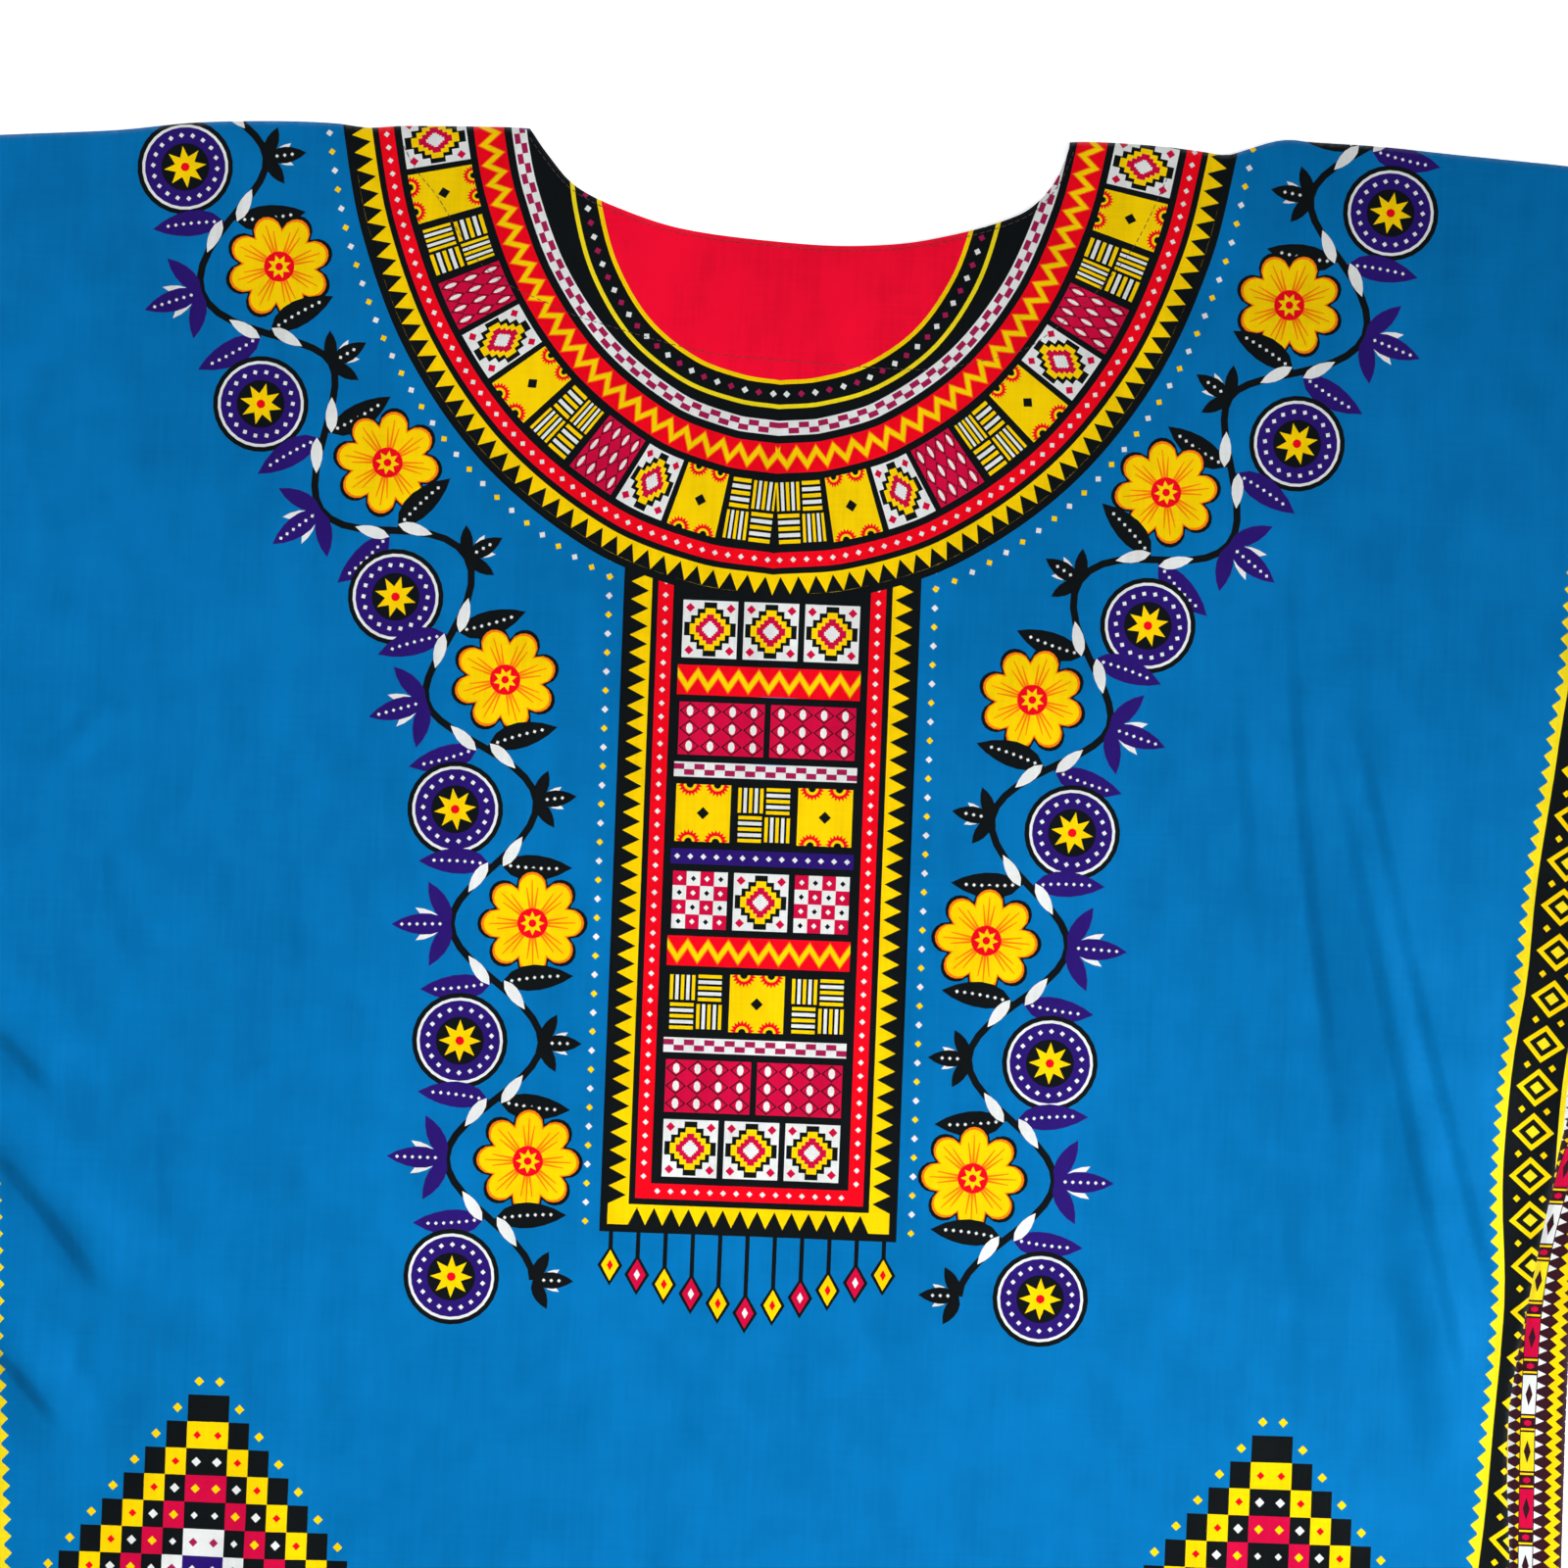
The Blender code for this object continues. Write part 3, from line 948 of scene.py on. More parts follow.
@dataclass(frozen=True)
class Checks:
    """Two rows of squares that alternate with the band's own dye."""

    dye: Dye
    pitch: float
    inset: float = 0.12  # share of the band's width that stays free at each edge

    def run(self, strip: Strip) -> None:
        """Print the checks.

        Args:
            strip: Where it goes.
        """
        count = 2 * round(strip.track.length / self.pitch / 2)
        pitch = strip.track.length / count
        inset = self.inset * strip.height
        for index in range(count):
            low, high = (strip.low + inset, strip.middle) if index % 2 else (strip.middle, strip.high - inset)
            start = index * pitch
            strip.lay(oblong((start, low), (start + pitch, high)), self.dye)


@dataclass(frozen=True)
class Lozenges:
    """A row of nested diamonds with two beads between each two."""

    dye: Dye
    heart: Dye
    bead: Dye
    pitch: float
    fill: float = 0.86  # share of the band's width
    half_long: float = 0.42  # share of the pitch

    def run(self, strip: Strip) -> None:
        """Print the row.

        Args:
            strip: Where it goes.
        """
        half_tall = strip.height * self.fill / 2
        half_wide = self.pitch * self.half_long
        for spot in strip.spots(self.pitch):
            for share, dye in ((1.0, self.dye), (0.68, Dye.BLACK), (0.34, self.heart)):
                strip.cloth.stamp(spot, diamond(half_wide * share, half_tall * share), dye)
            for side in (-1, 1):
                bead = dot(half_wide * 0.2, self.pitch / 2, side * half_tall * 0.6)
                strip.cloth.stamp(spot, bead, self.bead)


@dataclass(frozen=True)
class Blocks:
    """A row of oblongs of dyes by turns, with a crimson spot between two gold bars after each."""

    dyes: tuple[Dye, ...]
    heart: Dye
    pitch: float
    gap: float = 7.6
    bar: float = 0.8
    inset: float = 0.4

    def run(self, strip: Strip) -> None:
        """Print the row.

        Args:
            strip: Where it goes.
        """
        count = round(strip.track.length / self.pitch)
        pitch = strip.track.length / count
        low, high = strip.low + self.inset, strip.high - self.inset
        heart = diamond(pitch * 0.2, (high - low) * 0.26)
        seed = oval(self.gap * 0.17, (high - low) * 0.3, 6)
        for index in range(count):
            start = index * pitch + self.gap / 2
            end = (index + 1) * pitch - self.gap / 2
            strip.lay_bent(oblong((start, low), (end, high)), self.dyes[index % len(self.dyes)])
            strip.cloth.stamp(strip.track.spot((start + end) / 2, strip.middle), heart, self.heart)
            for foot in (end + self.bar, end + self.gap - 2 * self.bar):
                strip.lay_bent(oblong((foot, low), (foot + self.bar, high)), Dye.GOLD)
            strip.cloth.stamp(strip.track.spot(end + self.gap / 2, strip.middle), seed, Dye.CRIMSON)


class TileKind(Enum):
    """The kinds of panel in the mosaic."""

    LATTICE = "crimson with white diamonds under a dark lattice"
    STEPS = "nested stepped diamonds on white"
    SUNS = "half suns on gold"
    CHECKS = "crimson and white checks"
    WEAVE = "gold and white bars on black"


@dataclass(frozen=True)
class MosaicTile:
    """One panel of the mosaic, as long and as wide as given, with (along, out) places."""

    long: float
    wide: float

    def shapes(self, kind: TileKind) -> Shapes:
        """List the panel's ground and the shapes that cover it.

        Args:
            kind: The kind of panel.

        Returns:
            The shapes, in the order in which they cover each other.
        """
        ground, pattern = {
            TileKind.LATTICE: (Dye.CRIMSON, self.lattice),
            TileKind.STEPS: (Dye.WHITE, self.steps),
            TileKind.SUNS: (Dye.GOLD, self.suns),
            TileKind.CHECKS: (Dye.WHITE, self.checks),
            TileKind.WEAVE: (Dye.BLACK, self.weave),
        }[kind]
        return [(oblong((0, 0), (self.long, self.wide)), ground), *pattern()]

    def lattice(self) -> Shapes:
        """List white diamonds, with a dark line through each gap.

        Returns:
            The shapes, each with its dye.
        """
        columns, rows = 4, 3
        long, wide = self.long / columns, self.wide / rows
        shapes = []
        for column, row in product(range(columns), range(rows)):
            middle = ((column + 0.5) * long, (row + 0.5) * wide)
            shapes.append((diamond(long * 0.49, wide * 0.49, *middle), Dye.BLACK))
            shapes.append((diamond(long * 0.4, wide * 0.4, *middle), Dye.CRIMSON))
            shapes.append((oval(long * 0.16, wide * 0.3, 8, *middle), Dye.WHITE))
        return shapes

    def steps(self) -> Shapes:
        """List stepped diamonds inside each other, and a dot in each corner.

        Returns:
            The shapes, each with its dye.
        """
        shapes = []
        for share, dye in ((0.94, Dye.BLACK), (0.74, Dye.GOLD), (0.52, Dye.CRIMSON), (0.28, Dye.WHITE)):
            half = (self.long / 2 * share, self.wide / 2 * share)
            shapes.append((stepped_diamond((self.long / 2, self.wide / 2), *half, 4), dye))
        corner = 0.13
        for along, out in product((corner, 1 - corner), repeat=2):
            shapes.append((dot(1.9, along * self.long, out * self.wide), Dye.CRIMSON))
        return shapes

    def suns(self) -> Shapes:
        """List half suns that face each other, round a dark diamond.

        Returns:
            The shapes, each with its dye.
        """
        ray_ends = 2 * 9 + 1
        reach = min(self.long / 4, self.wide / 2) * 0.92
        rays = np.where(np.arange(ray_ends) % 2, reach, reach * 0.72)
        rings = ((rays, ray_ends, Dye.RED), (reach * 0.52, 9, Dye.GOLD), (reach * 0.3, 9, Dye.BLACK))
        shapes = []
        for (foot, way), share in product(((0.0, 1), (self.wide, -1)), (0.25, 0.75)):
            for radii, count, dye in rings:
                angles = np.linspace(0, math.pi, count)
                along = self.long * share + radii * np.cos(angles)
                shapes.append((np.column_stack((along, foot + way * radii * np.sin(angles))), dye))
        shapes.append((dot(2.6, self.long / 2, self.wide / 2), Dye.BLACK))
        return shapes

    def checks(self) -> Shapes:
        """List the crimson squares among the white ones, and a spot on each square.

        Returns:
            The shapes, each with its dye.
        """
        count = 4
        long, wide = self.long / count, self.wide / count
        shapes = []
        for column, row in product(range(count), repeat=2):
            low, high = (column * long, row * wide), ((column + 1) * long, (row + 1) * wide)
            is_dark = (column + row) % 2
            if is_dark:
                shapes.append((oblong(low, high), Dye.CRIMSON))
            middle = ((low[0] + high[0]) / 2, (low[1] + high[1]) / 2)
            spot = diamond(long * 0.2, wide * 0.2, *middle)
            shapes.append((spot, Dye.WHITE if is_dark else Dye.BLACK))
        return shapes

    def weave(self) -> Shapes:
        """List gold and white bars that turn by turns.

        Returns:
            The shapes, each with its dye.
        """
        bars = 5
        inset = 0.8
        half_long, half_wide = self.long / 2, self.wide / 2
        shapes = []
        for block, bar in product(range(4), range(bars)):
            start, foot = half_long * (block % 2), half_wide * (block // 2)
            low, high = (bar + 0.2) / bars, (bar + 0.8) / bars
            if block in (0, 3):
                corner = (start + inset, foot + half_wide * low)
                opposite = (start + half_long - inset, foot + half_wide * high)
            else:
                corner = (start + half_long * low, foot + inset)
                opposite = (start + half_long * high, foot + half_wide - inset)
            shapes.append((oblong(corner, opposite), Dye.WHITE if bar % 2 else Dye.GOLD))
        return shapes


@dataclass(frozen=True)
class Tiles:
    """A row of mosaic panels, of some kinds by turns."""

    kinds: tuple[TileKind, ...]
    count: int
    gap: float = 2.6

    def run(self, strip: Strip) -> None:
        """Print the panels.

        Args:
            strip: Where it goes.
        """
        pitch = strip.track.length / self.count
        tile = MosaicTile(pitch - self.gap, strip.height)
        for index in range(self.count):
            foot = (index * pitch + self.gap / 2, strip.low)
            for outline, dye in tile.shapes(self.kinds[index % len(self.kinds)]):
                strip.lay_bent(outline + foot, dye)


Trim = Teeth | Zigzag | Beads | Checks | Lozenges | Blocks | Tiles


@dataclass(frozen=True)
class Band:
    """One band of a border: its width in millimetres, its ground and its ornament."""

    width: float
    ground: Dye
    trim: Trim | None = None

    def adorn(self, cloth: Print, track: Track, inwards: bool = True) -> None:
        """Print the ornament on the inner or the outer side of a track."""
        if self.trim:
            low, high = (-self.width, 0.0) if inwards else (0.0, self.width)
            self.trim.run(Strip(cloth, track, low, high))


@dataclass(frozen=True)
class Rosette:
    """A round flower with eight petals, in millimetres."""

    radius: float = 21.5
    petals: int = 8
    dip: float = 6.0
    outline: float = 1.1

    def print_on(self, cloth: Print, spot: Spot) -> None:
        """Print the flower.

        Args:
            cloth: What it is printed on.
            spot: Its middle.
        """
        for grow, dye in ((1.6, Dye.BLACK), (0.0, Dye.ORANGE), (-self.outline, Dye.GOLD)):
            cloth.stamp(spot, lobed(self.radius + grow, self.petals, self.dip), dye)
        for petal in range(self.petals):
            for lean, reach in ((-9, 0.7), (0, 0.84), (9, 0.7)):
                angle = math.radians(360 / self.petals * petal + lean)
                way = np.array((math.sin(angle), math.cos(angle)))
                vein = np.array((way * 6.2, way * self.radius * reach))
                cloth.stamp(spot, ribbon(vein, 1.0, 0.4), Dye.ORANGE)
        cloth.stamp(spot, disc(6.4, 16), Dye.RED)
        cloth.stamp(spot, star(5.0, 2.8, 8), Dye.GOLD)
        cloth.stamp(spot, disc(1.7, 8), Dye.RED)


@dataclass(frozen=True)
class Wheel:
    """A dark disc with rings of white beads round a star, in millimetres."""

    radius: float = 20.0
    rings: tuple[tuple[float, Dye], ...] = (
        (1.0, Dye.BLACK), (0.9, Dye.WHITE), (0.84, Dye.INDIGO), (0.5, Dye.BLACK),
    )
    bead_ring: float = 0.67
    beads: int = 18
    bead: float = 1.1

    def print_on(self, cloth: Print, spot: Spot) -> None:
        """Print the disc.

        Args:
            cloth: What it is printed on.
            spot: Its middle.
        """
        for share, dye in self.rings:
            cloth.stamp(spot, disc(self.radius * share, 28), dye)
        for index in range(self.beads):
            angle = 2 * math.pi * index / self.beads
            reach = self.radius * self.bead_ring
            cloth.stamp(spot, dot(self.bead, reach * math.cos(angle), reach * math.sin(angle)), Dye.WHITE)
        cloth.stamp(spot, star(self.radius * 0.44, self.radius * 0.22, 8), Dye.GOLD)
        cloth.stamp(spot, disc(1.9, 8), Dye.RED)


@dataclass(frozen=True)
class BeadedLeaf:
    """A dark leaf with a row of white beads down its middle, in millimetres."""

    length: float = 30.0
    width: float = 11.0
    curl: float = 3.4
    bead: float = 0.8
    bead_pitch: float = 3.2
    first_bead: float = 4.4
    last_gap: float = 4.1  # the least distance from the last bead to the tip

    def print_on(self, cloth: Print, spot: Spot, dye: Dye, side: int = 1) -> None:
        """Print the leaf, bent to one side.

        Args:
            cloth: What it is printed on.
            spot: The foot of the leaf.
            dye: Its dye.
            side: 1 or -1, for the side that it bends to.
        """
        curl = self.curl * side
        cloth.stamp(spot, leaf(self.length, self.width, 0.0, curl), dye)
        run = self.length - self.first_bead - self.last_gap
        for index in range(int(run / self.bead_pitch) + 1):
            up = self.first_bead + index * self.bead_pitch
            cloth.stamp(spot, dot(self.bead, curl * (up / self.length) ** 2, up), Dye.WHITE)


# Bands that more than one part of the pattern uses.
SPACER = Band(3.0, Dye.BLACK)
DIAMOND_SEEDS = Band(6.4, Dye.RED, Beads((Dye.WHITE,), 5.6, 1.25))
BRIGHT_ZIGZAG = Band(12.5, Dye.RED, Zigzag(Dye.GOLD, Dye.ORANGE, 8.6, 3.2, 1.7, 0.5))
SMALL_CHECKS = Band(6.2, Dye.WHITE, Checks(Dye.MAGENTA, 4.4))
FRAME_BANDS = (
    Band(3.2, Dye.BLACK),
    Band(8.6, Dye.GOLD, Teeth(Dye.BLACK, 7.4, points_out=False, fill=0.86)),
    Band(2.6, Dye.BLACK),
    DIAMOND_SEEDS,
    SPACER,
)


def tile_row(width: float, count: int, *kinds: TileKind) -> Band:
    """Return a band of mosaic panels on black."""
    return Band(width, Dye.BLACK, Tiles(kinds, count))


def print_outer_seeds(cloth: Print, track: Track) -> None:
    """Print the row of seeds outside a line, on both sides of the centre line."""
    half = Print()
    Beads((Dye.GOLD, Dye.WHITE), 8.0, 1.5).run(Strip(half, track, 3.0, 9.0))
    cloth.lay_both_sides(half)


@dataclass(frozen=True)
class Collar:
    """The round collar of bands, in millimetres."""

    # Half width and down, from above the shoulder to the centre line.
    outline: tuple[Station, ...] = (
        (190, -24), (187, 0), (177, 46), (156, 96), (122, 141), (76, 175), (34, 190), (0, 194),
    )
    bands: tuple[Band, ...] = (
        *FRAME_BANDS,
        tile_row(27.0, 12, TileKind.LATTICE, TileKind.STEPS, TileKind.SUNS, TileKind.WEAVE),
        SPACER,
        BRIGHT_ZIGZAG,
        Band(3.2, Dye.BLACK),
        SMALL_CHECKS,
        Band(40.0, Dye.BLACK),
    )

    @property
    def edge(self) -> Track:
        """The +X half of its outer edge."""
        return Track(smooth_line(self.outline, 4.5))

    def print_on(self, cloth: Print) -> None:
        """Print the collar from its edge inwards.

        Args:
            cloth: What it is printed on.
        """
        depth = 0.0
        for band in self.bands:
            half = Print()
            inner = self.edge.moved(-depth)
            cloth.lay(inner.both_sides(), band.ground)
            band.adorn(half, inner)
            cloth.lay_both_sides(half)
            depth += band.width


@dataclass(frozen=True)
class Placket:
    """The straight panel that hangs from the collar, and its tassels, in millimetres."""

    half_width: float = 62.0
    start: float = 150.0
    rows_from: float = 190.0
    frame: tuple[Band, ...] = FRAME_BANDS
    rows: tuple[Band, ...] = (
        Band(4.0, Dye.BLACK), tile_row(24.0, 3, TileKind.STEPS),
        SPACER, BRIGHT_ZIGZAG,
        SPACER, tile_row(22.0, 2, TileKind.LATTICE),
        SPACER, SMALL_CHECKS,
        SPACER, tile_row(24.0, 3, TileKind.SUNS, TileKind.WEAVE, TileKind.SUNS),
        SPACER, Band(6.4, Dye.INDIGO, DIAMOND_SEEDS.trim),
        SPACER, tile_row(24.0, 3, TileKind.CHECKS, TileKind.STEPS, TileKind.CHECKS),
        SPACER, BRIGHT_ZIGZAG,
        SPACER, tile_row(24.0, 3, TileKind.WEAVE, TileKind.SUNS, TileKind.WEAVE),
        SPACER, SMALL_CHECKS,
        SPACER, tile_row(22.0, 2, TileKind.LATTICE),
        SPACER, tile_row(24.0, 3, TileKind.STEPS),
    )
    step: float = 12.0  # between the points of its straight lines
    tassels: int = 11
    tassel_longest: float = 27.0
    tassel_shortest: float = 9.0
    tassel_inset: float = 5.0

    @property
    def depth(self) -> float:
        """Width of the whole frame."""
        return sum(band.width for band in self.frame)

    @property
    def foot(self) -> float:
        """How far down the panel ends."""
        return self.rows_from + sum(band.width for band in self.rows) + self.depth

    def track(self, start: Station, end: Station) -> Track:
        """Return a straight track."""
        return Track(straight_line(start, end, self.step))

    def print_on(self, cloth: Print) -> None:
        """Print the tassels, the frame from its edge inwards and the rows inside it.

        Args:
            cloth: What it is printed on.
        """
        self.print_tassels(cloth)
        wide, foot = self.half_width, self.foot
        print_outer_seeds(cloth, self.track((wide, self.start), (wide, foot)))
        depth = 0.0
        for band in self.frame:
            wide, foot = self.half_width - depth, self.foot - depth
            cloth.lay(oblong((wide, self.start), (-wide, foot)), band.ground)
            half = Print()
            band.adorn(half, self.track((wide, self.start), (wide, foot - band.width)))
            cloth.lay_both_sides(half)
            inner = wide - band.width
            band.adorn(cloth, self.track((inner, foot), (-inner, foot)))
            depth += band.width
        wide = self.half_width - depth
        down = self.rows_from
        for band in self.rows:
            cloth.lay(oblong((wide, down), (-wide, down + band.width)), band.ground)
            band.adorn(cloth, self.track((wide, down), (-wide, down)), inwards=False)
            down += band.width

    def print_tassels(self, cloth: Print) -> None:
        """Print the tassels, the longest in the middle.

        Args:
            cloth: What it is printed on.
        """
        for index in range(self.tassels):
            share = 2 * index / (self.tassels - 1) - 1
            stem = self.tassel_longest - (self.tassel_longest - self.tassel_shortest) * abs(share)
            spot = Spot(share * (self.half_width - self.tassel_inset), self.foot, math.pi / 2)
            cloth.stamp(spot, ribbon(np.array(((0, -1), (0, stem / 2), (0, stem))), 1.8), Dye.BLACK)
            end = spot.moved(0, stem + 5.0)
            bead, heart = (Dye.CRIMSON, Dye.WHITE) if index % 2 else (Dye.GOLD, Dye.RED)
            for wide, tall, dye in ((5.2, 8.6, Dye.BLACK), (3.7, 6.5, bead), (1.3, 2.3, heart)):
                cloth.stamp(end, diamond(wide, tall), dye)


@dataclass(frozen=True)
class NeckFall:
    """The red half moon below the neckline."""

    outline: tuple[Station, ...] = (
        (96, 6), (92, 34), (83, 62), (66, 88), (42, 106), (18, 114), (0, 116),
    )
    rims: tuple[Band, ...] = (
        SPACER,
        Band(1.8, Dye.LEMON),
        Band(8.4, Dye.BLACK, Beads((Dye.WHITE, Dye.MAGENTA), 6.2, 1.5)),
        Band(1.8, Dye.GOLD),
        Band(80.0, Dye.NECK_RED),
    )

    def print_on(self, cloth: Print) -> None:
        """Print the half moon from its edge inwards.

        Args:
            cloth: What it is printed on.
        """
        edge = Track(smooth_line(self.outline, 4.0))
        depth = 0.0
        half = Print()
        for band in self.rims:
            inner = edge.moved(-depth)
            cloth.lay(inner.both_sides(), band.ground)
            band.adorn(half, inner)
            depth += band.width
        cloth.lay_both_sides(half)


@dataclass(frozen=True)
class Scroll:
    """The running scroll beside the collar and the placket, in millimetres."""

    line: tuple[Station, ...] = (
        (243, -30), (240, 0), (230, 52), (208, 104), (175, 150), (144, 190), (124, 236),
        (113, 290), (109, 350), (108, 410), (108, 480),
    )
    half_waves: int = 11
    swing: float = 19.0
    vine_width: float = 3.0
    flower_out: float = 15.0
    bead: float = 0.8
    bead_pitch: float = 3.2
    first_bead: float = 4.6
    last_gap: float = 4.3
    rosette: Rosette = Rosette()
    wheel: Wheel = Wheel()
    beaded_leaf: BeadedLeaf = BeadedLeaf()

    def print_on(self, cloth: Print) -> None:
        """Print the scroll on both sides of the centre line.

        Args:
            cloth: What it is printed on.
        """
        half = Print()
        track = Track(smooth_line(self.line, 5.0))
        pitch = track.length / self.half_waves
        along = np.linspace(0.0, track.length, 10 * self.half_waves + 1)
        out = self.swing * np.cos(math.pi * along / pitch)
        half.lay(ribbon(track.at(along, out), self.vine_width), Dye.BLACK)
        for index in range(self.half_waves + 1):
            side = -1 if index % 2 else 1
            crest = track.spot(index * pitch, side * self.swing)
            self.print_palmette(half, crest.moved(0, 0, 0 if side > 0 else 180), side)
            flower = track.spot(index * pitch, -side * self.flower_out)
            if side > 0:
                self.rosette.print_on(half, flower)
            else:
                self.wheel.print_on(half, flower)
            if index < self.half_waves:
                self.print_pair(half, track.spot((index + 0.5) * pitch), side)
        cloth.lay_both_sides(half)

    def print_palmette(self, half: Print, crest: Spot, side: int) -> None:
        """Print the leaves that stand on a crest of the scroll.

        Args:
            half: The +X half of the pattern.
            crest: The foot of the leaves.
            side: 1 on an outward crest and -1 on an inward one.
        """
        dye = Dye.INDIGO if side > 0 else Dye.BLACK
        length, width = (25.0, 9.0) if side > 0 else (17.0, 7.0)
        for turn in (-62, 62):
            half.stamp(crest, leaf(length * 0.8, width * 0.8, turn, 0.0, 5), dye)
        for turn in (-30, 30):
            half.stamp(crest.moved(0, 3), leaf(length * 0.55, width * 0.45, turn, 0.0, 4), Dye.WHITE)
        half.stamp(crest, leaf(length, width), dye)
        run = length - self.first_bead - self.last_gap
        for index in range(int(run / self.bead_pitch) + 1):
            half.stamp(crest, dot(self.bead, 0.0, self.first_bead + self.bead_pitch * index), Dye.WHITE)

    def print_pair(self, half: Print, spot: Spot, side: int) -> None:
        """Print two beaded leaves and two white ones where the scroll crosses its line."""
        for way in (0, 180):
            dye = Dye.BLACK if way else Dye.INDIGO
            foot = spot.moved(0, 0, way)
            self.beaded_leaf.print_on(half, foot.moved(0, 2, side * 12), dye, -side)
            half.stamp(foot.moved(side * 1, 3), leaf(15.0, 5.0, -side * 54, 0.0, 5), Dye.WHITE)


@dataclass(frozen=True)
class SkirtDiamond:
    """A large stepped diamond on the skirt, in millimetres."""

    across: float = 222.0
    down: float = 634.0
    step_wide: float = 8.6
    step_tall: float = 11.2
    # The dye of each layer, from the outermost inwards. Each has a step less than the one before.
    layers: tuple[Dye, ...] = (
        Dye.BLACK, Dye.GOLD, Dye.BLACK, Dye.CRIMSON, Dye.BLACK, Dye.WHITE, Dye.INDIGO, Dye.GOLD,
        Dye.RED,
    )
    # Layers that carry beads, by their number of steps, with the beads' dye and radius.
    beads: tuple[tuple[int, Dye, float], ...] = (
        (10, Dye.GOLD, 2.0), (8, Dye.RED, 1.7), (7, Dye.WHITE, 2.0), (6, Dye.GOLD, 1.9),
        (5, Dye.WHITE, 1.5), (4, Dye.MAGENTA, 1.9), (3, Dye.WHITE, 1.7),
    )

    def print_on(self, half: Print) -> None:
        """Print the diamond's layers and their beads.

        Args:
            half: The +X half of the pattern.
        """
        middle = (self.across, self.down)
        for index, dye in enumerate(self.layers):
            steps = len(self.layers) - index
            outline = stepped_diamond(middle, self.step_wide * steps, self.step_tall * steps, steps)
            half.lay(outline, dye)
        for steps, dye, radius in self.beads:
            for step in range(steps):
                across = self.step_wide * (steps - step - 0.5)
                down = self.step_tall * (step + 0.5)
                for turn_x, turn_y in product((-1, 1), repeat=2):
                    spot = Spot(self.across + turn_x * across, self.down + turn_y * down, math.pi / 2)
                    half.stamp(spot, dot(radius), dye)


@dataclass(frozen=True)
class Border:
    """A border of bands outside a line on the cloth, in millimetres."""

    stations: tuple[Station, ...]
    bands: tuple[Band, ...]
    beyond: float = 130.0
    step: float = 12.0  # between the points of its lines

    @property
    def track(self) -> Track:
        """The track of its inner line."""
        return Track(smooth_line(self.stations, self.step))

    def print_on(self, cloth: Print) -> None:
        """Print the bands from the inner line outwards.

        Args:
            cloth: What it is printed on.
        """
        track = self.track
        chord = Track(straight_line(self.stations[0], self.stations[-1], self.step))
        outer = chord.moved(self.beyond).line[::-1]
        depth = 0.0
        for band in self.bands:
            inner = track.moved(depth)
            cloth.lay(np.vstack((inner.line, outer)), band.ground)
            band.adorn(cloth, inner, inwards=False)
            depth += band.width


SIDE_BANDS = (
    Band(2.4, Dye.LEMON),
    Band(1.2, Dye.BLACK),
    Band(21.0, Dye.BLACK, Lozenges(Dye.GOLD, Dye.LEMON, Dye.GOLD, 19.0)),
    Band(2.2, Dye.LEMON),
    Band(5.6, Dye.MAROON, Teeth(Dye.WHITE, 4.9)),
    Band(5.1, Dye.CRIMSON, Beads((Dye.WHITE,), 5.6, 1.2)),
    Band(3.4, Dye.MAROON, Teeth(Dye.WHITE, 4.9, base=0.64)),
    Band(8.6, Dye.MAROON, Zigzag(Dye.GOLD, Dye.GOLD, 4.9, 3.8, 0.0, 0.34)),
    Band(3.4, Dye.MAROON, Teeth(Dye.WHITE, 4.9, points_out=False, base=0.64)),
    Band(6.4, Dye.MAROON, Blocks((Dye.CRIMSON, Dye.WHITE, Dye.LEMON), Dye.MAROON, 24.0)),
    Band(1.7, Dye.MAROON, Teeth(Dye.GOLD, 4.9, base=0.5)),
    Band(3.0, Dye.MAROON, Teeth(Dye.WHITE, 4.9, points_out=False, base=0.64)),
    Band(2.4, Dye.GOLD),
    Band(2.6, Dye.BLACK),
    Band(12.0, Dye.CRIMSON, Zigzag(Dye.GOLD, Dye.ORANGE, 8.6, 3.0, 1.6, 0.5)),
    Band(2.6, Dye.BLACK),
    Band(2.2, Dye.LEMON),
    Band(60.0, Dye.BLACK),
)
HEM_BANDS = (
    Band(2.4, Dye.LEMON),
    Band(1.2, Dye.BLACK),
    Band(16.5, Dye.BLACK, Lozenges(Dye.GOLD, Dye.LEMON, Dye.GOLD, 17.0)),
    Band(2.2, Dye.LEMON),
    Band(5.6, Dye.MAROON, Teeth(Dye.WHITE, 5.6)),
    Band(13.0, Dye.RED, Zigzag(Dye.GOLD, Dye.ORANGE, 8.6, 3.2, 1.7, 0.5)),
    Band(60.0, Dye.BLACK),
)


